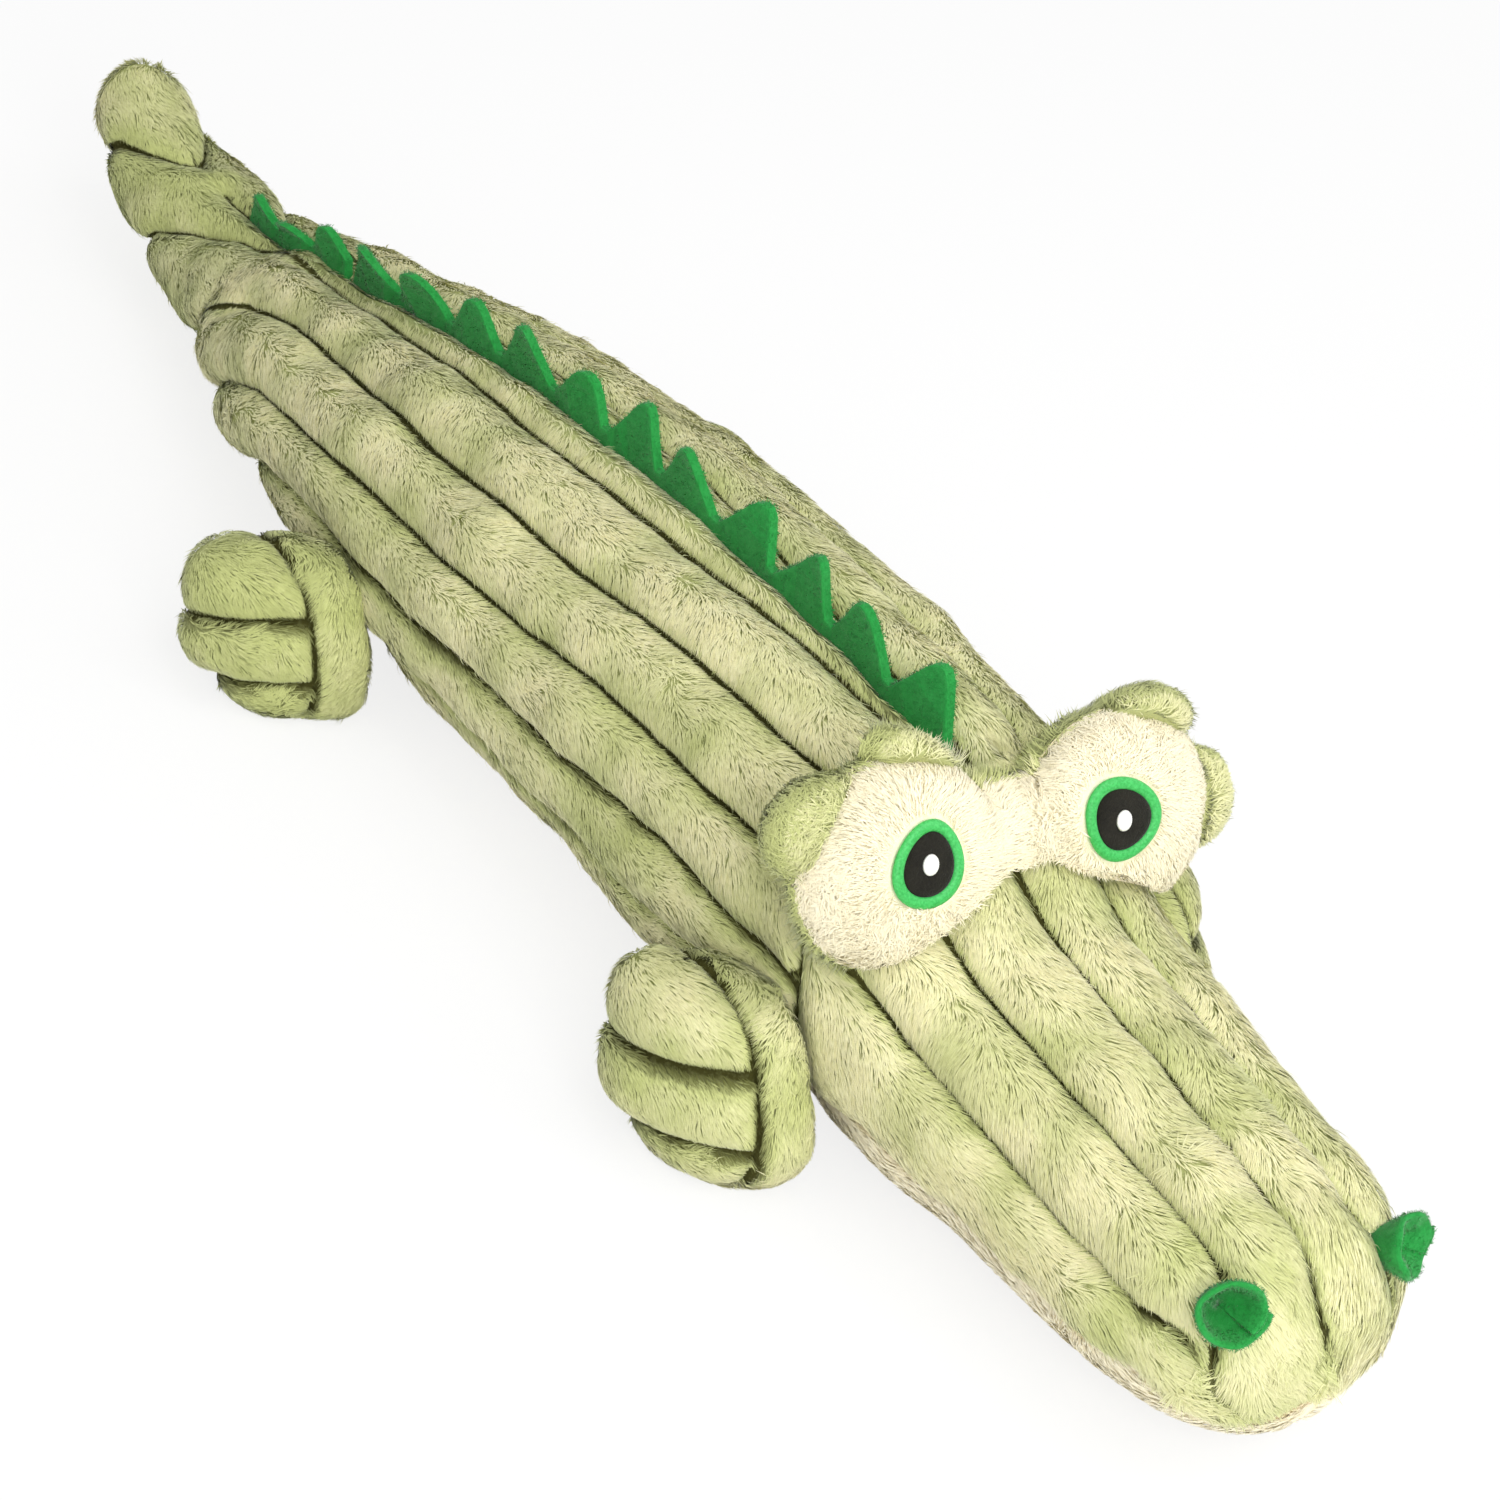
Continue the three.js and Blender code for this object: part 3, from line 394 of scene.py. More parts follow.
def array_mesh(name, points, faces, uv=None, crown=None):
    """A mesh from arrays: points in metres, faces with equal corner counts, and values for each point."""
    mesh = bpy.data.meshes.new(name)
    corners = faces.shape[1]
    mesh.vertices.add(len(points))
    mesh.vertices.foreach_set("co", np.ascontiguousarray(points, np.float32).ravel())
    mesh.loops.add(faces.size)
    mesh.loops.foreach_set("vertex_index", np.ascontiguousarray(faces, np.int32).ravel())
    mesh.polygons.add(len(faces))
    mesh.polygons.foreach_set("loop_start", np.arange(0, faces.size, corners, dtype=np.int32))
    if uv is not None:
        layer = mesh.uv_layers.new(name="OFBake")
        layer.data.foreach_set("uv", np.ascontiguousarray(uv[faces.ravel()], np.float32).ravel())
    if crown is not None:
        layer = mesh.attributes.new("crown", "FLOAT", "POINT")
        layer.data.foreach_set("value", np.ascontiguousarray(crown, np.float32).ravel())
    mesh.update(calc_edges=True)
    mesh.validate()
    mesh.shade_smooth()
    return mesh


# The backing is bare up to the first distance from a seam, and under full pile from the second; between them its
# painted seam shade gives way to the colour under the pile
BARE_TO, FULL_FROM = 1.5, 5.0


def seam_shade_mask(seam):
    """From 0 in a seam to 1 where the pile is full: the mask of the painted seam shade on the backing, which is full
    at 0 and gone at 1.
    """
    return np.clip((seam - BARE_TO) / (FULL_FROM - BARE_TO), 0, 1)


def shell_object(name, cloth, thickness, material):
    """A closed skin: the grid outside, the same grid drawn in, and a rim round its edge."""
    rows, columns = cloth.points.shape[:2]
    inner = cloth.points - cloth.normal * thickness
    if abs(cloth.points[:, 0, 0]).max() < 1e-6:
        inner[:, 0, 0] = 0
    points = row_frame(np.concatenate([cloth.points.reshape(-1, 3), inner.reshape(-1, 3)]))
    index = np.arange(rows * columns).reshape(rows, columns)
    a, b, c, d = index[:-1, :-1], index[1:, :-1], index[1:, 1:], index[:-1, 1:]
    outer = np.stack([a, b, c, d], -1).reshape(-1, 4)
    total = rows * columns
    inside = outer[:, ::-1] + total
    rim = np.concatenate([index[0, :], index[1:, -1], index[-1, -2::-1], index[-2:0:-1, 0]])
    following = np.roll(rim, -1)
    edge = np.stack([rim, following, following + total, rim + total], -1)
    faces = np.concatenate([outer, inside, edge])
    # The corners run so that faces look outwards
    p, f = points, outer[len(outer) // 2]
    facing = np.cross(p[f[1]] - p[f[0]], p[f[2]] - p[f[0]])
    middle = cloth.normal.reshape(-1, 3)[f[0]]
    if facing @ middle < 0:
        faces = faces[:, ::-1]
    # The crown values mask the painted seam shade on the backing
    crown = np.tile(seam_shade_mask(cloth.seam).ravel(), 2)
    return object_of(name, array_mesh(name, points, faces, crown=crown), material)


def scatter(cloth, density, rng, chosen=None):
    """Random places spread evenly over the cloth, as rows and columns of its grid."""
    p = cloth.points
    area = np.linalg.norm(np.cross(p[1:, 1:] - p[:-1, :-1], p[1:, :-1] - p[:-1, 1:]), axis=-1) / 2
    if chosen is not None:
        area = area * chosen[:-1, :-1]
    total = np.cumsum(area.ravel())
    count = int(total[-1] * density)
    cell = np.searchsorted(total, rng.random(count) * total[-1])
    row, column = np.divmod(np.minimum(cell, area.size - 1), area.shape[1])
    return row + rng.random(count), column + rng.random(count)


def sow(cloth, density, rng, grows, chosen=None):
    """Places where pile grows, as rows and columns of the cloth, with the root and the seam's distance at each."""
    row, column = scatter(cloth, density, rng, chosen)
    roots, seam = cloth.at(cloth.points, row, column), cloth.at(cloth.seam, row, column)[:, 0]
    keep = grows(roots, seam)
    return row[keep], column[keep], roots[keep], seam[keep]


# Millimetres above the floor below which no wisp reaches, and the shares of the skin and of the wisp in its shading
LOWEST, SKIN_SHARE, OWN_SHARE = 0.25, 0.85, 0.15
# The corners of a wisp on its map: across it and up it
WISP_MAP = ((0.5, 0.34), (0.0, 0.66), (1.0, 0.66), (0.5, 0.97))


def wisp_object(name, kind, spots, normals, widths, tones, shades, rng):
    """Wisps of pile: kites of two triangles through a root, a half and a tip, with the normal at each."""
    root, half, tip = spots
    count = len(root)
    roll = rng.normal(0, 0.2, (count, 1))
    level = unit(np.cross(normals[1], tip - root))
    side = (level * np.cos(roll) + normals[1] * np.sin(roll)) * (widths * 0.5)[:, None]
    points = np.stack([root, half - side, half + side, tip], 1)
    points[..., 2] = np.maximum(points[..., 2], LOWEST)
    own = unit(np.cross(tip - root, side))
    turn = np.sign(np.sum(own * normals[1], -1, keepdims=True))
    faces = np.arange(count)[:, None, None] * 4 + np.array([[0, 1, 2], [1, 3, 2]])
    faces = np.where(turn[:, :, None] < 0, faces[:, :, ::-1], faces).reshape(-1, 3)
    start = np.clip(tones, 0.02, 0.96)
    # Painted shade: a small shades value keeps the wisp's map in the darker colours near the root
    uv = np.stack([np.stack([start + 0.012 * u, 0.02 + v * shades], -1) for u, v in WISP_MAP], 1)
    mesh = array_mesh(name, row_frame(points.reshape(-1, 3)), faces, uv.reshape(-1, 2))
    # Light falls on soft pile as on the skin beneath it, with a little of each wisp's own turn
    shade = np.stack([normals[k] * SKIN_SHARE + own * turn * OWN_SHARE for k in (0, 1, 1, 2)], 1)
    shade = shade.reshape(-1, 3)
    mesh.normals_split_custom_set_from_vertices(unit(shade).tolist())
    return object_of(name, mesh, material_of(kind))


# Pile stops this far from the stitches, and half way up it has this share of its rise
STITCH_CLEAR, HALF_RISE = 1.3, 0.72


def pile_object(name, kind, cloth, place, ways, lengths, rise, widths, tones, rng):
    """Pile that lies along the cloth from its roots and rises towards its tips."""
    row, column = place
    roots, normals = cloth.at(cloth.points, row, column), unit(cloth.at(cloth.normal, row, column))
    ways = unit(ways - normals * np.sum(ways * normals, -1, keepdims=True))
    # Pile stops short of the stitches that it lies towards
    towards = np.sum(ways * cloth.at(cloth.to_seam, row, column), -1)
    seam = cloth.at(cloth.seam, row, column)[:, 0]
    room = np.maximum(seam - STITCH_CLEAR, 1.0) / np.maximum(towards, 0.2)
    lengths = np.where(towards > 0.2, np.minimum(lengths, room), lengths)
    half, half_normals = cloth.walk(row, column, ways, lengths * 0.5)
    tip, tip_normals = cloth.walk(row, column, ways, lengths)
    spots = (roots, half + half_normals * (rise * HALF_RISE)[:, None], tip + tip_normals * rise[:, None])
    # Painted shade: little light reaches the pile in a crease, so less of its length is coloured pale there
    shades = np.clip(0.02 + (seam - 1.4) / 4.0, 0.02, 1) * 0.97
    return wisp_object(name, kind, spots, (normals, half_normals, tip_normals), widths, tones, shades, rng)


def comb(roots, to_seam, nap, crest, seed):
    """The way the pile lies: along the nap, a little towards the seams, and ruffled along the crowns."""
    ruffle = np.stack([waves(roots, 8.0, seed + k) for k in range(3)], -1)
    drift = np.stack([waves(roots, 34.0, seed + 10 + k) for k in range(3)], -1)
    tuft = wave_slope(roots, 5.0, seed + 20)
    crest = crest[:, None]
    return to_seam * 0.5 * (1 - crest ** 2) + nap + drift * 0.3 + (ruffle * 0.26 + tuft * 0.2) * (0.3 + 0.7 * crest)


# No pile grows this near to the middle of a nostril
NOSTRIL_BARE = 7.5
# The nap runs back along the body and down, which is how the pile has been stroked
NAP = np.array([0.0, -0.75, -0.45])


def body_pile(name, cloth, sizes, seed, chosen):
    """The combed pile of one flank, longer and looser on the snout."""
    rng = np.random.default_rng(seed)

    def grows(roots, seam):
        keep = seam > rng.uniform(1.3, 2.3, len(seam))
        for _, place, _ in NOSTRILS:
            keep &= np.linalg.norm(roots - place, axis=1) > NOSTRIL_BARE
        return keep

    row, column, roots, seam = sow(cloth, sizes.wisp_density, rng, grows, chosen)
    count = len(roots)
    snout = np.clip((-190 - roots[:, 1]) / 40, 0, 1)
    lengths = (sizes.pile_length * (1 - snout) + sizes.snout_pile_length * snout) / MM
    lengths = lengths * rng.uniform(0.75, 1.2, count)
    crest = np.clip(seam / 12, 0, 1)
    ways = comb(roots, cloth.at(cloth.to_seam, row, column), NAP, crest, 130)
    ways += rng.normal(0, 0.09, ways.shape)
    stray = rng.random(count) < 0.02
    rise = 0.8 + 0.5 * snout + crest * (0.6 + 0.4 * waves(roots, 7.0, 93)) + rng.uniform(-0.2, 0.2, count)
    rise = np.maximum(rise, 0.5) + stray * rng.uniform(0.4, 1.4, count)
    # Painted shade: the tail's pile is given a lower tone, which colours it darker, as it lies farther from the light
    tail = np.clip((roots[:, 1] - 180) / 60, 0, 1)
    tone = (0.46 + 0.2 * waves(roots, 24.0, 94) + 0.13 * waves(roots, 7.0, 95)
            + 0.18 * crest - 0.32 * tail + rng.normal(0, 0.04, count))
    widths = sizes.pile_width / MM * rng.uniform(0.7, 1.25, count)
    return pile_object(name, "pile", cloth, (row, column), ways, lengths, rise, widths, tone, rng)


def closed_object(name, grid, material, seam=None):
    """A closed form from a grid whose columns run round, with a pole at each end."""
    rows, columns = grid.shape[:2]
    ends = np.stack([grid[0].mean(0), grid[-1].mean(0)])
    points = row_frame(np.concatenate([grid.reshape(-1, 3), ends]))
    index = np.arange(rows * columns).reshape(rows, columns)
    after = np.roll(index, -1, axis=1)
    quads = np.stack([index[:-1], index[1:], after[1:], after[:-1]], -1).reshape(-1, 4)
    triangles = np.concatenate([quads[:, [0, 1, 2]], quads[:, [0, 2, 3]]])
    first = np.stack([index[0], after[0], np.full(columns, rows * columns)], -1)
    last = np.stack([after[-1], index[-1], np.full(columns, rows * columns + 1)], -1)
    faces = np.concatenate([triangles, first, last])
    corner = points[faces]
    volume = np.sum(corner[:, 0] * np.cross(corner[:, 1], corner[:, 2]))
    if volume < 0:
        faces = faces[:, ::-1]
    # The crown values mask the painted seam shade on the backing
    crown = None if seam is None else np.append(seam_shade_mask(seam).ravel(), seam_shade_mask(seam[[0, -1]].mean(1)))
    return object_of(name, array_mesh(name, points, faces, crown=crown), material)


def around(grid):
    """The grid with its first column again at the end, so that values run on round it."""
    return np.concatenate([grid, grid[:, :1]], 1)


def flank_reach(y):
    """How far out a leg's inner side stays."""
    crown = np.where(y < NECK_TURN_Y + 36.0, 1.0, 0.973)
    return station_value(1, y) * crown + 0.9


# Legs: height of the sole, half the length and the width, how far the foot lies forward, how deep the seams sink,
# how far from them, how far the filling puffs the skin out, and where the two quilting seams cross, by height
LEG_FOOT, LEG_LONG, LEG_WIDE, LEG_SWEEP = 4.0, 30.0, 17.0, 14.0
LEG_SINK, LEG_REACH, LEG_PUFF, LEG_SEAMS = 6.2, 10.0, 1.4, (0.24, 0.66)
# Up a leg, the share of its length and width
LEG_PROFILE = ((0.0, 0.64), (0.06, 0.78), (0.16, 0.9), (0.3, 1.02), (0.5, 1.04), (0.62, 0.98), (0.75, 0.94),
               (0.87, 0.86), (0.94, 0.74), (0.98, 0.58), (1.0, 0.4))
# Each leg: its name, place along the body, side, spread, turn in degrees, tilt of its quilting and height
LEGS = (
    ("front", NECK_Y + 6.0, -1, 12.0, 58.0, -0.2, 54.0), ("front", NECK_Y + 6.0, 1, 7.0, 78.0, -0.2, 54.0),
    ("rear", NECK_Y + 233.0, -1, 16.0, 38.0, -0.3, 46.0), ("rear", NECK_Y + 233.0, 1, 7.0, 78.0, -0.3, 46.0),
)


def leg_cloth(leg, seed):
    """A stuffed leg: three quilted lobes outside, a plain panel inside and a flat sole."""
    _, leg_y, side, spread, turn_degrees, slope, height = leg
    turn = math.radians(turn_degrees)
    ups = np.concatenate([np.zeros(5), np.linspace(0, 1, 42), np.ones(5)])
    scales = np.concatenate([np.linspace(0.1, 0.95, 5), np.ones(42), np.linspace(0.8, 0.1, 5)])
    drop = np.concatenate([np.zeros(47), np.array([0.4, 0.9, 1.2, 1.4, 1.5])])
    angle = np.linspace(0, 2 * math.pi, 96, endpoint=False)
    up, a = np.meshgrid(ups, angle, indexing="ij")
    share = np.interp(up, *np.array(LEG_PROFILE).T) * scales[:, None]
    z = LEG_FOOT + up * (height - LEG_FOOT) + drop[:, None]
    sweep = LEG_SWEEP * (1 - z / height)
    middle = float(flank_reach(np.array(leg_y))) + spread
    along, across = LEG_LONG * share * np.cos(a), LEG_WIDE * share * np.sin(a)
    x = middle + along * math.cos(turn) - across * math.sin(turn)
    y = leg_y - sweep + along * math.sin(turn) + across * math.cos(turn)
    x = np.maximum(x, flank_reach(y) + 0.6)
    points = np.stack([side * x, y, z], -1)
    centre = np.stack([np.full_like(z, side * middle), leg_y - sweep, np.clip(z, 10, height - 8)], -1)
    normal = grid_normals(points, points - centre)
    # Two seams quilt the outer panel into puffed lobes, and an upright seam joins it to the plain inner one
    tilt = slope * (y - leg_y + sweep)
    level = np.minimum(*(np.abs(z - crossing * height - tilt) for crossing in LEG_SEAMS))
    outside = x - middle
    seam = np.where(outside > 0, np.minimum(level, outside), np.maximum(-outside, 0.01))
    seam = np.where((up <= 0) & (scales[:, None] < 1), 2 * LEG_REACH, seam)
    near = np.clip(1 - seam / LEG_REACH, 0, 1)
    sink = LEG_SINK * (1 - np.sqrt(1 - CREASE * near ** 2)) * np.where(outside > 0, 1, 0.4)
    sink += 0.5 * waves(points, 18.0, seed) + 0.4 * near * waves(points, 8.0, seed + 1)
    points = points + normal * (LEG_PUFF - sink)[..., None]
    points[..., 2] = np.maximum(points[..., 2], 1.5)
    normal = grid_normals(around(points), around(points - centre))
    return points, Cloth(around(points), normal, around(seam))


# The eye pillow lies in its own plane: x across, y up it, z out of the face
PILLOW_LEAN = math.radians(24.0)
PILLOW_PLACE = np.array([0.0, SNOUT_Y + 162.0, 94.0])
PILLOW_ROLL = math.radians(-3.0)
UPRIGHT = np.array([0.0, math.sin(PILLOW_LEAN), math.cos(PILLOW_LEAN)])
PILLOW_ACROSS = np.array([math.cos(PILLOW_ROLL), 0.0, 0.0]) + math.sin(PILLOW_ROLL) * UPRIGHT
PILLOW_UP = math.cos(PILLOW_ROLL) * UPRIGHT - np.array([math.sin(PILLOW_ROLL), 0.0, 0.0])
PILLOW_OUT = np.array([0.0, -math.cos(PILLOW_LEAN), math.sin(PILLOW_LEAN)])
# Middle to the middle of a lobe, a lobe's radius, half the waist, and how deep each side is filled
LOBE_APART, LOBE_RADIUS, WAIST, FRONT_DEPTH, BACK_DEPTH = 36.5, 30.0, 16.0, 13.0, 10.0
EYE_APART, EYE_SHIFT, EYE_RISE = 32.5, 2.5, 2.0


def from_pillow(x, y, z):
    return (PILLOW_PLACE + x[..., None] * PILLOW_ACROSS + y[..., None] * PILLOW_UP
            + z[..., None] * PILLOW_OUT)


def pillow_outline(angle, rim):
    """The peanut outline: two lobes joined by a waist."""
    radius = LOBE_RADIUS + rim
    inside = np.maximum(radius ** 2 - (LOBE_APART * np.sin(angle)) ** 2, 0)
    lobe = np.where(inside > 0, LOBE_APART * np.abs(np.cos(angle)) + np.sqrt(inside), 0)
    waist = 1 / np.hypot(np.cos(angle) / LOBE_APART, np.sin(angle) / (WAIST + rim))
    outline = np.maximum(lobe, waist)
    kernel = np.exp(-np.linspace(-2, 2, 11) ** 2)
    wrapped = np.concatenate([outline[-5:], outline, outline[:5]])
    return np.convolve(wrapped, kernel / kernel.sum(), mode="valid")


def pillow_height(x, y, depth, radius, waist):
    """How far the filling crowns above the edge seam."""
    total = np.zeros_like(x)
    for side in (-1, 1):
        d = np.hypot(x - side * LOBE_APART, y) / radius
        total = np.maximum(total, depth * np.clip(1 - d ** 5, 0, 1) ** 0.4)
    bridge = np.clip(1 - (x / LOBE_APART) ** 2 * 0.8 - (y / waist) ** 2, 0, 1) ** 0.5 * depth * 0.8
    high, low = np.maximum(total, bridge), np.minimum(total, bridge)
    return high + np.where(high > 0, 1.2 * np.exp(-((high - low) / 3.0) ** 2) * (low > 0), 0)


def above_body(points, gap):
    """Lifts points off the body's surface, where the pillow sits on the brow."""
    y = points[..., 1]
    top, bottom, half = station_value(2, y), station_value(3, y), station_value(1, y)
    across = np.clip(1 - (points[..., 0] / half) ** 2, 0, 1)
    body = (top + bottom) / 2 + (top - bottom) / 2 * np.sqrt(across)
    low = (across > 0) & (points[..., 2] < body + gap)
    points = points.copy()
    points[..., 2] = np.where(low, body + gap, points[..., 2])
    return points


def pillow_bumps(x, y):
    """Where the two puffed lobes of the green side stand, from 0 to 1."""
    turn = np.degrees(np.arctan2(y, np.abs(x) - LOBE_APART))
    near = np.where(x < 0, np.minimum(np.abs(turn - 106), np.abs(turn - 34)),
                    np.minimum(np.abs(turn - 66), np.abs(turn + 2))) / 27
    return np.sqrt(np.clip(1 - near ** 2, 0, 1))


def pillow_cloth(front, seed):
    """One side of the eye pillow, crowned over its lobes, and the flat seam side behind it."""
    angle = np.linspace(0, 2 * math.pi, 288, endpoint=False)
    rim = 1.5 if front else 1.0
    outline = pillow_outline(angle, rim)
    # The green side is quilted, and two of its wales end in rounded lobes above each eye, past the cream
    x, y = outline * np.cos(angle), outline * np.sin(angle)
    grow = -2.6 if front else np.where(x < 0, 11.5, 8.5)
    outline = outline + grow * pillow_bumps(x, y) * np.clip((np.abs(x) - 8) / 14, 0, 1)
    shares = np.sin(np.linspace(0.03, 1, 46) * math.pi / 2)
    x, y = shares[:, None] * outline * np.cos(angle), shares[:, None] * outline * np.sin(angle)
    if front:
        z = pillow_height(x, y, FRONT_DEPTH, LOBE_RADIUS, WAIST)
    else:
        z = -pillow_height(x, y, BACK_DEPTH, LOBE_RADIUS + 4, WAIST + 4)
        far = np.hypot(np.abs(x) - LOBE_APART, y)
        z = np.minimum(z, -9.0 * pillow_bumps(x, y) * np.clip(far / 12, 0, 1)) * 1.1
    x, y = x * 1.02, y * 0.94
    rounded = np.sqrt(np.clip(1 - shares ** 8, 0, 1))[:, None]
    z = z * np.maximum(rounded, 0.02)
    out = PILLOW_OUT if front else -PILLOW_OUT
    sheet = from_pillow(x, y, z) + out * (0.7 * waves(from_pillow(x, y, z), 13.0, seed) * rounded)[..., None]
    # The far side is flat behind the cream front, and puffed where the green lobes stand past it
    past = np.clip((np.hypot(np.abs(x) - LOBE_APART, y) - 24) / 7, 0, 1)
    puff = -1.2 if front else 1.2 + 8.5 * pillow_bumps(x, y) * past
    rest = from_pillow(x, y, np.broadcast_to(puff, x.shape) * rounded)[::-1]
    middle = from_pillow(x * 0.8, y * 0.8, np.zeros_like(x))
    grid = above_body(np.concatenate([sheet, rest[1:]], 0), 0.6)
    outward = around(grid - np.concatenate([middle, middle[::-1][1:]], 0))
    normal = grid_normals(around(grid), outward)
    edge = around(outline[None] * (1 - shares[:, None]))
    edge = np.concatenate([edge, edge[::-1][1:]], 0)
    return grid, Cloth(around(grid), normal, np.maximum(edge, 3.0))


def egg(angle, width, height, inset):
    """The outline of an eye, a little narrower at its top."""
    narrow = 1 - 0.16 * np.sin(angle)
    return (width / 2 - inset) * np.cos(angle) * narrow, (height / 2 - inset) * np.sin(angle)


# Each eye: its side, its name, how far it is turned in degrees, its width and its height
EYES = ((-1, "right", -8.0, 23.0, 24.5), (1, "left", 155.0, 26.0, 23.5))
RING_WIDTH = 3.4
# From the middle outwards and round to the back: shares of the size, and heights
PUPIL_PROFILE = ((0.05, 1.35), (0.3, 1.35), (0.55, 1.3), (0.8, 1.25), (0.93, 1.1), (1.0, 0.7), (1.0, 0.0),
                 (0.6, -0.2), (0.05, -0.2))
GLINT_PROFILE = ((0.05, 1.0), (0.25, 1.0), (0.45, 0.97), (0.65, 0.88), (0.82, 0.72), (0.95, 0.45), (1.0, 0.1),
                 (0.6, -0.1), (0.05, -0.1))


def at_eye(eye, x, y, z):
    """From the eye's own plane onto the crowned pillow."""
    side, _, turn, _, _ = eye
    c, s = math.cos(math.radians(turn)), math.sin(math.radians(turn))
    px, py = x * c - y * s + side * EYE_APART - EYE_SHIFT, x * s + y * c + EYE_RISE
    base = pillow_height(px, py, FRONT_DEPTH, LOBE_RADIUS, WAIST)
    return from_pillow(px, py, np.maximum(base, FRONT_DEPTH - 0.4) + z + 0.5)


def eye_pieces(eye):
    """The satin ring, the felt pupil and the white highlight of one eye, as closed grids."""
    width, height = eye[3:]
    stitches = 170
    angle = np.linspace(0, 2 * math.pi, stitches * 3, endpoint=False)
    ridge = np.tile([0.0, 1.0, 0.55], stitches)
    turns = np.linspace(0, 2 * math.pi, 14, endpoint=False)
    ring = []
    for t in turns:
        inset = RING_WIDTH / 2 - RING_WIDTH / 2 * math.cos(t)
        x, y = egg(angle, width, height, inset)
        high = math.sin(t)
        z = 0.6 + high * 1.15 if high > 0 else np.full_like(x, 0.6 + high * 0.9)
        ring.append(at_eye(eye, x, y, z + ridge * 0.16 * max(high, 0)))
    pupil = []
    for share, z in PUPIL_PROFILE:
        x, y = egg(np.linspace(0, 2 * math.pi, 72, endpoint=False), width, height, RING_WIDTH - 0.3)
        pupil.append(at_eye(eye, x * share, y * share, np.full_like(x, z)))
    glint = []
    spot = np.linspace(0, 2 * math.pi, 96, endpoint=False)
    for share, z in GLINT_PROFILE:
        x, y = share * 2.6 * np.cos(spot), share * 3.0 * np.sin(spot)
        thread = 0.13 * np.abs(np.sin(y * math.pi / 0.55)) if z > 0.2 else 0.0
        c, s = math.cos(math.radians(-eye[2])), math.sin(math.radians(-eye[2]))
        x, y = x * c - y * s, x * s + y * c
        glint.append(at_eye(eye, x, y, np.full_like(x, 1.35 + z) + thread))
    return np.stack(ring), np.stack(pupil), np.stack(glint)


# One felt spike, as shares of its pitch and of its height
SPIKE = ((0.95, 0.02), (0.84, 0.26), (0.73, 0.54), (0.64, 0.8), (0.57, 0.95), (0.5, 1.0), (0.42, 0.98),
         (0.33, 0.84), (0.24, 0.58), (0.15, 0.3), (0.06, 0.03))
# Each strip: its name, body and node, where it starts, how many spikes it has, and their pitch and height
STRIPS = (
    ("torso_spikes", "torso", "torso_spike_strip", NECK_Y + 16.0, 11, 29.4, 15.0),
    ("tail_spikes", "tail", "tail_spike_strip", TAIL_Y - 34.4, 3, 21.0, 11.0),
)


def back_top(y):
    return station_value(2, np.asarray(y, float))


def strip_object(name, start, count, pitch, height, sizes):
    """The felt strip with its rounded spikes, cut as one piece, which stands in the middle seam."""
    rng = np.random.default_rng(31 + count)
    lower = [(y, float(back_top(y)) - 9.0) for y in np.linspace(start, start + count * pitch, count * 4 + 1)]
    upper = []
    for i in range(count - 1, -1, -1):
        tall, shift = height * rng.uniform(0.78, 1.08), rng.uniform(-0.12, 0.12)
        for along, up in SPIKE:
            y = start + (i + along + shift * up) * pitch
            upper.append((y, float(back_top(y)) - 1.2 + up * (tall + 1.5)))
    outline = lower + upper
    shape = bmesh.new()
    thick = sizes.felt_thickness / MM
    corners = [shape.verts.new((-thick / 2, y, z)) for y, z in outline]
    face = shape.faces.new(corners)
    made = bmesh.ops.extrude_face_region(shape, geom=[face])
    moved = [v for v in made["geom"] if isinstance(v, bmesh.types.BMVert)]
    bmesh.ops.translate(shape, vec=(thick, 0, 0), verts=moved)
    rims = [e for e in shape.edges if len(e.link_faces) == 2
            and sum(len(f.verts) > 6 for f in e.link_faces) == 1]
    bmesh.ops.bevel(shape, geom=rims, offset=0.7, segments=2, profile=0.6, affect="EDGES")
    bmesh.ops.triangulate(shape, faces=shape.faces[:])
    bmesh.ops.recalc_face_normals(shape, faces=shape.faces[:])
    for corner in shape.verts:
        y, z = corner.co.y, corner.co.z
        above = max(z - float(back_top(y)) + 1.0, 0.0)
        which = (y - start) / pitch
        fold = min(max((y - 30) / 130, 0), 1)
        lean = sizes.spike_lean * (0.6 + 2.0 * math.sin(which * 2.3 + 1.0)) - 0.6 * fold
        corner.co.x += above * math.sin(lean) + 0.5 * math.sin(y / 9.0)
        corner.co.z -= above * (1 - math.cos(lean))
    # The bevel gives its faces in an order that changes from run to run, so they are put in one order
    shape.verts.index_update()
    faces = [[corner.index for corner in face.verts] for face in shape.faces]
    faces = sorted(face[face.index(min(face)):] + face[:face.index(min(face))] for face in faces)
    points = [(corner.co + Vector((MIDDLE_X, 0, 0))) * MM for corner in shape.verts]
    shape.free()
    mesh = bpy.data.meshes.new(name)
    mesh.from_pydata(points, [], faces)
    return object_of(name, mesh, material_of("felt"))


# Fibres on each square millimetre of felt
FUZZ_DENSITY = 3.0


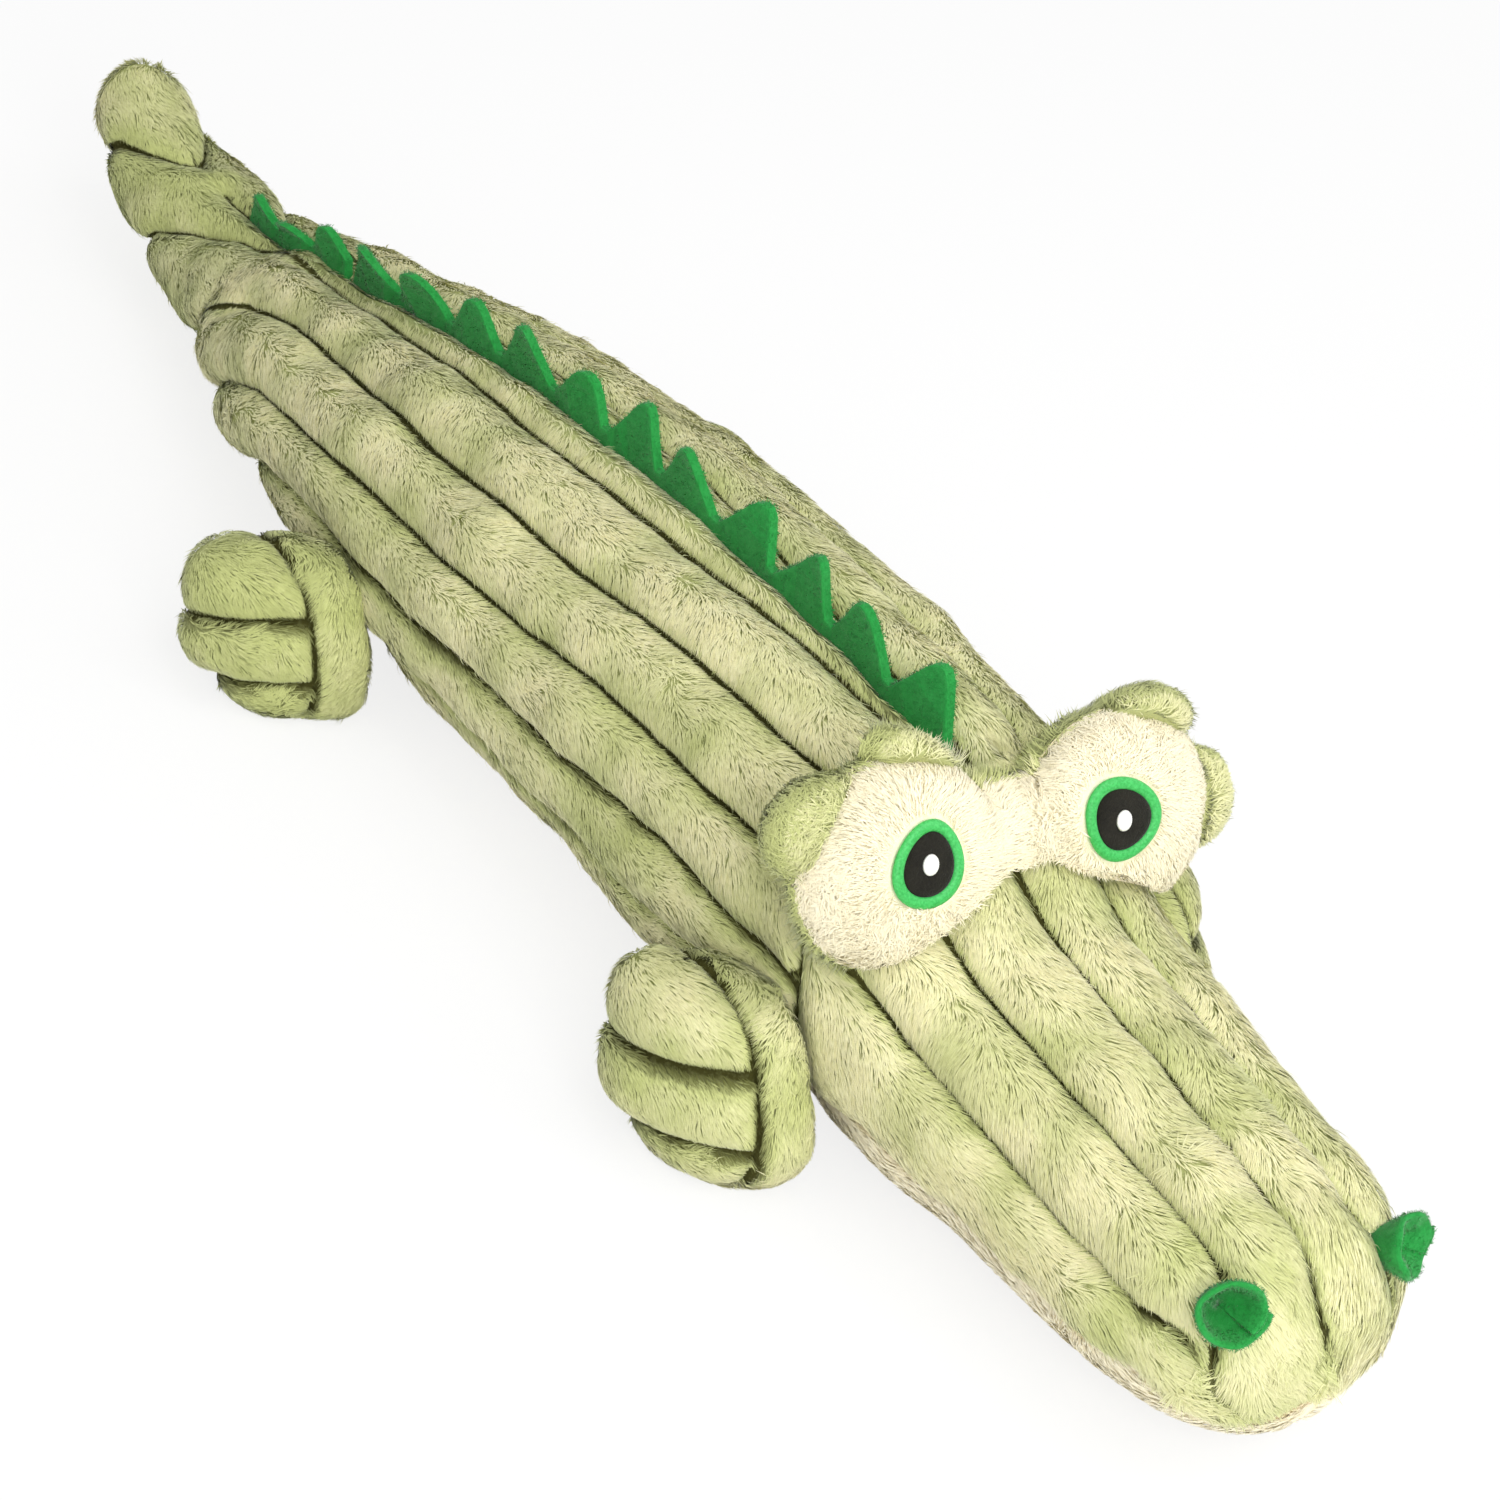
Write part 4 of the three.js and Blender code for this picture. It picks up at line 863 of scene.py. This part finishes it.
def fuzz_object(name, piece, length, seed):
    """Short stray fibres over a piece of felt: thin leaves that stand at every angle."""
    rng = np.random.default_rng(seed)
    mesh = piece.data
    mesh.calc_loop_triangles()
    corners = np.zeros(len(mesh.vertices) * 3, np.float32)
    mesh.vertices.foreach_get("co", corners)
    corners = corners.reshape(-1, 3).astype(float) / MM
    index = np.zeros(len(mesh.loop_triangles) * 3, np.int32)
    mesh.loop_triangles.foreach_get("vertices", index)
    a, b, c = corners[index.reshape(-1, 3)].transpose(1, 0, 2)
    cross = np.cross(b - a, c - a)
    total = np.cumsum(np.linalg.norm(cross, axis=1) / 2)
    count = int(total[-1] * FUZZ_DENSITY)
    pick = np.minimum(np.searchsorted(total, rng.random(count) * total[-1]), len(total) - 1)
    s, t = rng.random((2, count, 1))
    over = s + t > 1
    s, t = np.where(over, 1 - s, s), np.where(over, 1 - t, t)
    roots = a[pick] + (b - a)[pick] * s + (c - a)[pick] * t - np.array([MIDDLE_X, 0, 0])
    normals = unit(cross[pick])
    ways = rng.normal(size=(count, 3))
    flat = unit(ways - normals * np.sum(ways * normals, -1, keepdims=True))
    ways = unit(flat + normals * rng.uniform(0.2, 1.2, (count, 1)))
    reach = ways * (length * rng.uniform(0.5, 1.3, count))[:, None]
    return wisp_object(name, "fuzz", (roots - normals * 0.1, roots + reach * 0.5, roots + reach), (normals,) * 3,
                       rng.uniform(0.12, 0.28, count), np.clip(0.45 + rng.normal(0, 0.2, count), 0.1, 0.9),
                       np.full(count, 0.97), rng)


def nostril_place(side, x):
    y = SNOUT_Y + 16.0
    top, bottom, half = (float(station_value(k, np.array(y))) for k in (2, 3, 1))
    return np.array([side * x, y, (top + bottom) / 2 + (top - bottom) / 2 * math.sqrt(1 - (x / half) ** 2)])


# Each nostril: its side, its place on the snout, and the way that it points
NOSTRILS = ((-1, nostril_place(-1, 29.0), (-0.25, -0.8, 0.5)), (1, nostril_place(1, 31.5), (0.42, -0.8, 0.42)))


def nostril_grid(nostril):
    """A rolled cone of felt whose overlapping edge stands a little proud of its lip."""
    side, place, way = nostril
    axis = Vector(way).normalized()
    sunk = 5.0 if side < 0 else 9.5
    root = Vector(place) - axis * sunk
    across = axis.cross(Vector((0, 0, 1))).normalized()
    down = axis.cross(across)
    length, felt, turns = 14.0, 2.3, 1.13
    # The cup's floor stands just outside the snout
    cup = (sunk - 1.0) / length
    rings = []
    for t in np.linspace(0, 1, 64):
        a = t * 2 * math.pi * turns + 2.2
        grow = 1.6 * t
        profile = [(0.0, 3.2 + grow * 0.3), (0.35, 5.4 + grow * 0.6), (0.7, 8.0 + grow), (0.93, 9.6 + grow),
                   (1.0, 9.4 + grow), (1.02, 8.6 + grow), (0.96, 7.6 + grow), (cup + 0.3, 8.0 + grow - felt),
                   (cup + 0.1, 5.4 + grow * 0.6 - felt), (cup, 0.3)]
        lip = 1.0 + 0.07 * math.sin(2 * a + side) + 0.03 * math.sin(5 * a)
        ring = []
        for up, radius in profile:
            p = root + axis * (up * length * (lip if up > 0.8 else 1.0)) \
                + (across * math.cos(a) + down * (math.sin(a) * 0.84)) * (radius * 0.98)
            ring.append(tuple(p))
        rings.append(ring)
    return np.array(rings)


# Materials

def add_node(tree, kind, settings=None, links=None):
    """Adds a node with its settings, which are sockets, properties or the stops of a ramp, and its links."""
    made = tree.nodes.new("ShaderNode" + kind)
    for key, value in (settings or {}).items():
        if key == "stops":
            while len(made.color_ramp.elements) < len(value):
                made.color_ramp.elements.new(0.5)
            for element, (place, colour) in zip(made.color_ramp.elements, value):
                element.position = place
                element.color = colour
        elif isinstance(key, int) or key in made.inputs:
            made.inputs[key].default_value = value
        else:
            setattr(made, key, value)
    for key, (source, output) in (links or {}).items():
        tree.links.new(source.outputs[output], made.inputs[key])
    return made


def cleared(owner):
    """The adder of nodes for a material or a world, whose own nodes are taken away."""
    owner.use_nodes = True
    owner.node_tree.nodes.clear()
    return partial(add_node, owner.node_tree)


def pile_material(name, root, green, tip, sheen):
    """Rabbit-touch polyester plush, knitted and cut: a matt pile with roots coloured darker as painted shade, pale
    tips and a soft sheen.
    """
    material = bpy.data.materials.new(name)
    add = cleared(material)
    coords = add("UVMap", {"uv_map": "OFBake"})
    split = add("SeparateXYZ", {}, {"Vector": (coords, "UV")})
    # Across the map lie the tones of the dye lot, which vary at random, lowered as painted shade on the tail and the
    # rear legs, and up it each fibre from its root, coloured darker as painted shade, to its tip
    pale = add("ValToRGB", {"stops": ((0.0, root), (0.3, green), (0.8, tip))}, {"Fac": (split, "Y")})
    dull = add("ValToRGB", {"stops": ((0.0, root), (0.4, green))}, {"Fac": (split, "Y")})
    tone = add("MapRange", {"From Min": 0.1, "From Max": 0.8}, {"Value": (split, "X")})
    mixed = add("Mix", {"data_type": "RGBA"}, {"Factor": (tone, "Result"), 6: (dull, "Color"), 7: (pale, "Color")})
    # Fibres about 0.2 mm apart, drawn as streaks along each wisp
    stretch = add("VectorMath", {"operation": "MULTIPLY", 1: (300.0, 1.2, 1.0)}, {0: (coords, "UV")})
    streak = add("TexNoise", {"noise_dimensions": "2D", "Scale": 1.0, "Detail": 1.0}, {"Vector": (stretch, "Vector")})
    shade = add("MapRange", {"From Min": 0.25, "From Max": 0.75, "To Min": 0.86, "To Max": 1.1},
                {"Value": (streak, "Fac")})
    toned = add("VectorMath", {"operation": "SCALE"}, {"Scale": (shade, "Result"), 0: (mixed, 2)})
    shader = add("BsdfPrincipled", {"Roughness": 0.9, "Specular IOR Level": 0.15, "Sheen Weight": sheen,
                                    "Sheen Roughness": 0.5}, {"Base Color": (toned, "Vector")})
    add("OutputMaterial", {}, {"Surface": (shader, "BSDF")})
    return material


def grain_material(name, low, high, stops, noise, settings, bump=None, level=None):
    """A material whose colour follows the grain of a noise, and which stands out by it where it has a bump."""
    material = bpy.data.materials.new(name)
    add = cleared(material)
    coords = add("TexCoord")
    grain = add("TexNoise", noise, {"Vector": (coords, "Object")})
    source = level(add, coords, grain) if level else (grain, "Fac")
    colour = add("ValToRGB", {"stops": ((stops[0], low), (stops[1], high))}, {"Fac": source})
    links = {"Base Color": (colour, "Color")}
    if bump:
        raised = add("Bump", {"Strength": bump[0], "Distance": bump[1]}, {"Height": (grain, "Fac")})
        links["Normal"] = (raised, "Normal")
    shader = add("BsdfPrincipled", settings, links)
    add("OutputMaterial", {}, {"Surface": (shader, "BSDF")})
    return material


def backing_material(name, low, high):
    """Knitted polyester backing of plush: a dull ribbed cloth, with painted shade in the seams, where little light
    gets between the fibres.
    """
    def level(add, _, knit):
        # Painted shade: the crown attribute darkens the backing in its seams
        crown = add("Attribute", {"attribute_name": "crown"})
        rib = add("Math", {"operation": "MULTIPLY", 1: 0.3}, {0: (knit, "Fac")})
        return add("Math", {"operation": "MULTIPLY_ADD", 1: 0.75}, {0: (crown, "Fac"), 2: (rib, "Value")}), "Value"

    # Knit loops are 1.2 mm apart
    return grain_material(name, low, high, (0.15, 0.9), {"Scale": 1 / 0.0012, "Detail": 3.0},
                          {"Roughness": 0.95, "Specular IOR Level": 0.1}, (0.5, 0.0006), level)


def felt_material(name, dark, light):
    """Needle-punched polyester felt: matt, with fine tangled fibres that catch the light on its edges."""
    def level(add, coords, clumps):
        patches = add("TexNoise", {"Scale": 160.0, "Detail": 2.0}, {"Vector": (coords, "Object")})
        lower = add("Math", {"operation": "MULTIPLY", 1: 0.4}, {0: (patches, "Fac")})
        return add("Math", {"operation": "MULTIPLY_ADD", 1: 0.65}, {0: (clumps, "Fac"), 2: (lower, "Value")}), "Value"

    # Fibres are 0.05 mm thick and matted into clumps of about 0.7 mm, which is what shows
    return grain_material(name, dark, light, (0.3, 0.75),
                          {"Scale": 900.0, "Detail": 6.0, "Roughness": 0.7, "Distortion": 1.5},
                          {"Roughness": 0.95, "Specular IOR Level": 0.15, "Sheen Weight": 0.25,
                           "Sheen Roughness": 0.4}, (0.6, 0.0004), level)


def thread_material(name, low, high):
    """Rayon embroidery thread in satin stitch: smooth and lustrous, with a fine grain of painted highlight and
    painted shade for the tops of its stitches and the gaps between them.
    """
    # Stitches lie 0.4 mm apart
    return grain_material(name, low, high, (0.25, 0.75), {"Scale": 1400.0, "Detail": 2.0},
                          {"Roughness": 0.42, "Specular IOR Level": 0.4})


def inner_material(name, low, high, roughness, scale):
    """Stuffing fibre or soft vinyl inside the toy: pale and faintly uneven."""
    return grain_material(name, linear(low), linear(high), (0.3, 0.7), {"Scale": scale, "Detail": 4.0},
                          {"Roughness": roughness}, (0.4, 0.001))


WHITE = (1.0, 1.0, 1.0, 1.0)
made_materials = {}


def material_of(kind):
    """Each material is made once, when its first piece asks for it."""
    if kind in made_materials:
        return made_materials[kind]
    c = bpy.context.scene.toy_colours
    makers = {
        "pile": lambda: pile_material("sage_rabbit_plush", c.pile_root, c.pile_green, c.pile_tip, 0.25),
        "cream": lambda: pile_material("cream_minky_plush", c.cream_root, c.cream_tip, c.cream_tip, 0.2),
        # Both backings are darkened in their seams as painted shade
        "backing": lambda: backing_material("knitted_sage_backing_seam_shade", c.backing, c.under_pile),
        "cream_backing": lambda: backing_material("knitted_cream_backing_seam_shade", c.cream_root, c.cream_tip),
        "felt": lambda: felt_material("needled_green_felt", c.felt, c.felt_light),
        "fuzz": lambda: pile_material("needled_green_felt_fibres", c.felt, c.felt, c.felt_light, 0.2),
        "pupil": lambda: felt_material("needled_black_felt", c.pupil, linear("#2b2922")),
        "thread": lambda: thread_material("satin_green_thread", c.thread, c.thread_painted_highlight),
        "glint": lambda: thread_material("satin_white_thread", c.glint, linear("#ffffff")),
        "fibre": lambda: inner_material("carded_polyester_fibre", "#ebe8df", "#fbfaf6", 1.0, 90.0),
        "vinyl": lambda: inner_material("moulded_soft_vinyl", "#e2ddca", "#ece7d8", 0.45, 30.0),
    }
    made_materials[kind] = makers[kind]()
    return made_materials[kind]


def bend(piece, segment):
    """Bakes a body piece's place into its mesh, in the same way for the front and the rear segment."""
    if segment == "front":
        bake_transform(piece)
    else:
        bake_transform(piece)


SEGMENTS = (("front", SPLIT_Y, SNOUT_Y, "head"), ("rear", SPLIT_Y, TIP_Y, "tail"))
SIDES = ((-1, "right"), (1, "left"))
# The pile of one skin is cut into this many pieces along the body
PILE_PIECES = 5


class TOY_OT_sew_plush(bpy.types.Operator):
    """Sew the quilted plush skins of the body, snout and tail, and grow their pile"""

    bl_idname = "toy.sew_plush"
    bl_label = "Quilted plush skins"

    def execute(self, context):
        sizes = context.scene.toy_sizes
        for segment, start, end, body in SEGMENTS:
            for side, side_name in SIDES:
                cloth = flank_cloth(start, end, side, sizes)
                skin = shell_object(f"{segment}_skin_{side_name}", cloth, 1.0, material_of("backing"))
                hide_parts(f"torso_panel_{side_name}", f"{body}_panel_{side_name}")
                bend(skin, segment)
                rows = len(cloth.points)
                for k in range(PILE_PIECES):
                    seed = 100 + 10 * k + (side + 1) * 3 + (segment == "rear")
                    # The far flank has four fifths of the pile
                    chosen = np.zeros(cloth.points.shape[:2])
                    chosen[k * rows // PILE_PIECES:(k + 1) * rows // PILE_PIECES] = 1 if side < 0 else 0.8
                    pile = body_pile(f"{segment}_pile_{side_name}_{k + 1}", cloth, sizes, seed, chosen)
                    bend(pile, segment)
        return {"FINISHED"}


class TOY_OT_sew_cream(bpy.types.Operator):
    """Sew the plain cream panel along the belly and chin"""

    bl_idname = "toy.sew_cream"
    bl_label = "Cream belly and chin"

    def execute(self, context):
        sizes = context.scene.toy_sizes
        for segment, start, end, node in (("front", SPLIT_Y, SNOUT_Y, "chin_panel"), ("rear", SPLIT_Y, 212.0, None)):
            halves = [flank_cloth(start, end, side, sizes, cream=True) for side, _ in SIDES]
            cloth = Cloth(*(np.concatenate([getattr(halves[0], grid), getattr(halves[1], grid)[:, -2::-1]], 1)
                            for grid in ("points", "normal", "seam")))
            skin = shell_object(f"cream_{segment}_skin", cloth, 0.9, material_of("cream_backing"))
            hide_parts("belly_panel", *([node] if node else []))
            rng = np.random.default_rng(77 + (segment == "rear"))
            # Only the pile that isn't pressed flat on the floor stands
            row, column, roots, seam = sow(cloth, sizes.wisp_density * 0.5, rng,
                                           lambda roots, seam: (roots[:, 2] > 1.6) & (seam > 0.5))
            count = len(roots)
            ways = comb(roots, cloth.at(cloth.to_seam, row, column), np.array([0, 0.4, -0.1]), seam * 0, 60)
            pile = pile_object(f"cream_{segment}_pile", "cream", cloth, (row, column), ways,
                               rng.uniform(3.6, 5.0, count), rng.uniform(0.9, 1.6, count),
                               rng.uniform(0.4, 0.7, count), 0.5 + rng.normal(0, 0.1, count), rng)
            for piece in (skin, pile):
                if segment == "front":
                    bend(piece, segment)
                else:
                    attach(piece, "torso")
        return {"FINISHED"}


class TOY_OT_sew_legs(bpy.types.Operator):
    """Sew and stuff the four legs"""

    bl_idname = "toy.sew_legs"
    bl_label = "Legs"

    def execute(self, context):
        sizes = context.scene.toy_sizes
        for k, leg in enumerate(LEGS):
            name = f"{leg[0]}_leg_{'right' if leg[2] < 0 else 'left'}"
            grid, cloth = leg_cloth(leg, 200 + 7 * k)
            skin = closed_object(f"{name}_skin", grid, material_of("backing"), cloth.seam[:, :-1])
            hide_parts(f"{name}_outer_panel", f"{name}_inner_panel")
            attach(skin, name)
            rng = np.random.default_rng(300 + k)
            row, column, roots, seam = sow(cloth, sizes.wisp_density, rng,
                                           lambda roots, seam: seam > rng.uniform(0.9, 1.7, len(seam)))
            count = len(roots)
            lengths = sizes.pile_length / MM * 0.95 * rng.uniform(0.75, 1.2, count)
            crest = np.clip(seam / 10, 0, 1)
            ways = comb(roots, cloth.at(cloth.to_seam, row, column), np.array([0, -0.8, -0.5]), crest, 320 + k)
            ways += rng.normal(0, 0.1, ways.shape)
            rise = 1.0 + crest * (0.6 + 0.45 * waves(roots, 7.0, 330 + k)) + rng.uniform(-0.2, 0.2, count)
            # Painted shade: the rear legs' pile is given a lower tone than the front legs', which colours it darker
            tone = ((0.3 if leg[0] == "front" else 0.0) + 0.2 * waves(roots, 20.0, 340 + k)
                    + 0.12 * waves(roots, 7.0, 350 + k) + 0.15 * crest + rng.normal(0, 0.04, count))
            pile = pile_object(f"{name}_pile", "pile", cloth, (row, column), ways, lengths, rise,
                               sizes.pile_width / MM * rng.uniform(0.7, 1.25, count), tone, rng)
            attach(pile, name)
        return {"FINISHED"}


class TOY_OT_sew_pillow(bpy.types.Operator):
    """Sew the eye pillow: its cream front and its green quilted back"""

    bl_idname = "toy.sew_pillow"
    bl_label = "Eye pillow"

    def execute(self, context):
        sizes = context.scene.toy_sizes
        for front, kind, slot, node in ((True, "cream", "cream_plush", "eye_pillow_front"),
                                        (False, "pile", "wale_plush", "eye_pillow_back")):
            grid, cloth = pillow_cloth(front, 400 + front)
            skin = closed_object(f"{node}_skin", grid, material_of("cream_backing" if front else "backing"),
                                 cloth.seam[:, :-1])
            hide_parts(node)
            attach(skin, "eye_pillow")
            rng = np.random.default_rng(410 + front)
            row, column = scatter(cloth, sizes.wisp_density * (1.2 if front else 1.0), rng)
            roots = cloth.at(cloth.points, row, column)
            local = roots - PILLOW_PLACE
            x, y = local @ PILLOW_ACROSS, local @ PILLOW_UP
            # Nothing grows where the two sides lie together
            high = local @ PILLOW_OUT
            keep = high > 0.4 if front else (high < -0.5) | (np.hypot(np.abs(x) - LOBE_APART, y) > 29)
            if front:
                for side, _, turn, width, height in EYES:
                    c, s = math.cos(math.radians(-turn)), math.sin(math.radians(-turn))
                    ex, ey = x - side * EYE_APART + EYE_SHIFT, y - EYE_RISE
                    ex, ey = ex * c - ey * s, ex * s + ey * c
                    inside = np.hypot(ex / (width / 2 * (1 - 0.3 * ey / height)), ey / (height / 2))
                    keep &= inside > 1.0
            row, column, roots, x, y = row[keep], column[keep], roots[keep], x[keep], y[keep]
            count = len(roots)
            away = np.stack([x - np.sign(x) * EYE_APART + EYE_SHIFT, y - EYE_RISE], -1)
            out = away[:, :1] * PILLOW_ACROSS + away[:, 1:] * PILLOW_UP
            out = out / np.maximum(np.linalg.norm(out, axis=1, keepdims=True), 6.0)
            ways = comb(roots, out * 1.4, np.zeros(3), np.full(count, 0.3), 430 + front)
            ways += rng.normal(0, 0.2, ways.shape)
            length = 4.4 if front else sizes.pile_length / MM
            rise = rng.uniform(1.0, 2.2, count) + 0.4 * waves(roots, 6.0, 450)
            tone = 0.5 + 0.12 * waves(roots, 14.0, 440) + rng.normal(0, 0.08, count)
            pile = pile_object(f"{node}_pile", kind, cloth, (row, column), ways,
                               length * rng.uniform(0.75, 1.2, count), rise,
                               sizes.pile_width / MM * rng.uniform(0.6, 1.1, count), tone, rng)
            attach(pile, "eye_pillow")
        return {"FINISHED"}


class TOY_OT_stitch_eyes(bpy.types.Operator):
    """Stitch the eyes: satin rings, felt pupils and white highlights"""

    bl_idname = "toy.stitch_eyes"
    bl_label = "Eyes"

    def execute(self, context):
        for eye in EYES:
            for grid, name, kind, slot in zip(
                    eye_pieces(eye), ("eye_ring", "pupil", "eye_glint"), ("thread", "pupil", "glint"),
                    ("eye_thread", "black_felt", "glint_thread")):
                if name == "eye_ring":
                    # The ring runs round and has no poles, so its rows close on themselves
                    rows, columns = grid.shape[:2]
                    index = np.arange(rows * columns).reshape(rows, columns)
                    right, below = np.roll(index, -1, axis=1), np.roll(index, -1, axis=0)
                    faces = np.stack([index, right, np.roll(right, -1, axis=0), below], -1).reshape(-1, 4)
                    mesh = array_mesh(f"{name}_{eye[1]}_satin", row_frame(grid.reshape(-1, 3)), faces[:, ::-1])
                    piece = object_of(mesh.name, mesh, material_of(kind))
                else:
                    piece = closed_object(f"{name}_{eye[1]}_cloth", grid, material_of(kind))
                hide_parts(f"{name}_{eye[1]}")
                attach(piece, "eye_pillow")
        return {"FINISHED"}


class TOY_OT_cut_felt(bpy.types.Operator):
    """Cut the felt spikes and roll the felt nostrils"""

    bl_idname = "toy.cut_felt"
    bl_label = "Felt spikes and nostrils"

    def execute(self, context):
        for name, body, node, start, count, pitch, height in STRIPS:
            strip = strip_object(f"{name}_felt", start, count, pitch, height, context.scene.toy_sizes)
            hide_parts(node)
            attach(strip, body)
            fuzz = fuzz_object(f"{name}_fuzz", strip, 1.3, 500 + count)
            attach(fuzz, body)
        for nostril, (side, side_name) in zip(NOSTRILS, SIDES):
            grid = nostril_grid(nostril)
            cone = closed_object(f"nostril_{side_name}_felt", grid, material_of("felt"))
            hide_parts(f"nostril_cone_{side_name}")
            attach(cone, "head")
            fuzz = fuzz_object(f"nostril_{side_name}_fuzz", cone, 1.2, 520 + side)
            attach(fuzz, "head")
        return {"FINISHED"}


class TOY_OT_fill(bpy.types.Operator):
    """Give the stuffing and the squeakers inside their materials"""

    bl_idname = "toy.fill"
    bl_label = "Stuffing and squeakers"

    def execute(self, context):
        for name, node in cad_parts.items():
            kind = "fibre" if "_fill" in name else "vinyl" if "squeaker" in name else None
            if kind:
                node.data.materials.clear()
                node.data.materials.append(material_of(kind))
        return {"FINISHED"}


# Half the floor's side in metres, and the share of white that the camera sees in it
FLOOR_SPAN, FLOOR_WHITE = 3.0, 0.8
# Each lamp: its name, place, size in metres and power in watts
LAMPS = (("key_light", (-0.5, -1.2, 0.9), 0.8, 11.5), ("fill_light", (1.1, -0.8, 1.0), 1.2, 4.5),
         ("top_light", (0.1, -0.55, 1.4), 1.0, 6.8))
# The camera, as fitted to the view: turn, height and roll in degrees, distance and target in metres, and its
# sensor in millimetres with the focal length and the width of the frame in pixels
CAMERA_ANGLES, CAMERA_DISTANCE = (-40.0, 36.0, 11.2), 1.3715
CAMERA_TARGET = Vector((0.0281 + MIDDLE_X * MM, -0.0303, 0.0122))
SENSOR, FOCAL_PIXELS, FRAME_PIXELS = 36.0, 4511.0, 1500.0


class TOY_OT_place_stage(bpy.types.Operator):
    """Lay the pale floor, and set the soft studio lights and the camera"""

    bl_idname = "toy.place_stage"
    bl_label = "Stage"

    def execute(self, context):
        scene = context.scene
        colours = scene.toy_colours
        span = FLOOR_SPAN
        mesh = bpy.data.meshes.new("floor")
        mesh.from_pydata([(-span, -span, 0), (span, -span, 0), (span, span, 0), (-span, span, 0)], [], [(0, 1, 2, 3)])
        material = bpy.data.materials.new("painted_studio_floor")
        add = cleared(material)
        # Matt white paint: the floor keeps the shadow, and shows white to the eye
        path = add("LightPath")
        paint = add("BsdfDiffuse", {"Color": colours.floor})
        white = add("Emission", {"Color": WHITE, "Strength": 1.0})
        share = add("Math", {"operation": "MULTIPLY", 1: FLOOR_WHITE}, {0: (path, "Is Camera Ray")})
        seen = add("MixShader", {}, {"Fac": (share, "Value"), 1: (paint, "BSDF"), 2: (white, "Emission")})
        add("OutputMaterial", {}, {"Surface": (seen, "Shader")})
        floor = object_of("floor", mesh, material)

        world = bpy.data.worlds.new("studio")
        scene.world = world
        add = cleared(world)
        path = add("LightPath")
        lit = add("Background", {"Color": WHITE, "Strength": 0.5})
        white = add("Background", {"Color": WHITE, "Strength": 1.0})
        rays = add("Math", {"operation": "MAXIMUM"}, {0: (path, "Is Camera Ray"), 1: (path, "Is Glossy Ray")})
        rays = add("Math", {"operation": "MAXIMUM"}, {0: (rays, "Value"), 1: (path, "Is Transmission Ray")})
        mixed = add("MixShader", {}, {0: (rays, "Value"), 1: (lit, "Background"), 2: (white, "Background")})
        add("OutputWorld", {}, {"Surface": (mixed, "Shader")})

        for name, place, size, power in LAMPS:
            lamp = bpy.data.lights.new(name, "AREA")
            lamp.size = size
            lamp.energy = power
            holder = bpy.data.objects.new(name, lamp)
            holder.location = place
            aim = Vector((0.0, 0.0, 0.05)) - Vector(place)
            holder.rotation_mode = "QUATERNION"
            holder.rotation_quaternion = aim.to_track_quat("-Z", "Y")
            scene.collection.objects.link(holder)

        azimuth, height, roll = (math.radians(angle) for angle in CAMERA_ANGLES)
        back = Vector((math.sin(azimuth) * math.cos(height), -math.cos(azimuth) * math.cos(height),
                       math.sin(height)))
        flat = Vector((math.cos(azimuth), math.sin(azimuth), 0.0))
        upright = back.cross(flat)
        right = flat * math.cos(roll) + upright * math.sin(roll)
        up = upright * math.cos(roll) - flat * math.sin(roll)
        lens = bpy.data.cameras.new("camera")
        lens.sensor_width = SENSOR
        lens.lens = SENSOR * FOCAL_PIXELS / FRAME_PIXELS
        lens.dof.use_dof = False
        camera = bpy.data.objects.new("camera", lens)
        place = CAMERA_TARGET + back * CAMERA_DISTANCE
        turn = Matrix((right, up, back)).transposed().to_4x4()
        camera.matrix_world = Matrix.Translation(place) @ turn
        scene.collection.objects.link(camera)
        scene.camera = camera
        scene.view_settings.view_transform = "Standard"
        return {"FINISHED"}


OPERATORS = (TOY_OT_sew_plush, TOY_OT_sew_cream, TOY_OT_sew_legs, TOY_OT_sew_pillow, TOY_OT_stitch_eyes,
             TOY_OT_cut_felt, TOY_OT_fill, TOY_OT_place_stage)


class TOY_PT_panel(bpy.types.Panel):
    """Lists the steps that make the toy"""

    bl_idname = "TOY_PT_panel"
    bl_label = "Dog toy"
    bl_space_type = "VIEW_3D"
    bl_region_type = "UI"
    bl_category = "Dog toy"

    def draw(self, context):
        for step in OPERATORS:
            self.layout.operator(step.bl_idname)
        for group in (context.scene.toy_sizes, context.scene.toy_colours):
            column = self.layout.column()
            for name in group.__annotations__:
                column.prop(group, name)


CLASSES = (ToySizes, ToyColours, *OPERATORS, TOY_PT_panel)


def register():
    for kind in CLASSES:
        bpy.utils.register_class(kind)
    bpy.types.Scene.toy_sizes = bpy.props.PointerProperty(type=ToySizes)
    bpy.types.Scene.toy_colours = bpy.props.PointerProperty(type=ToyColours)


def unregister():
    del bpy.types.Scene.toy_colours
    del bpy.types.Scene.toy_sizes
    for kind in reversed(CLASSES):
        bpy.utils.unregister_class(kind)


def main():
    register()
    for step in OPERATORS:
        group, name = step.bl_idname.split(".")
        getattr(getattr(bpy.ops, group), name)()


if __name__ == "__main__":
    main()
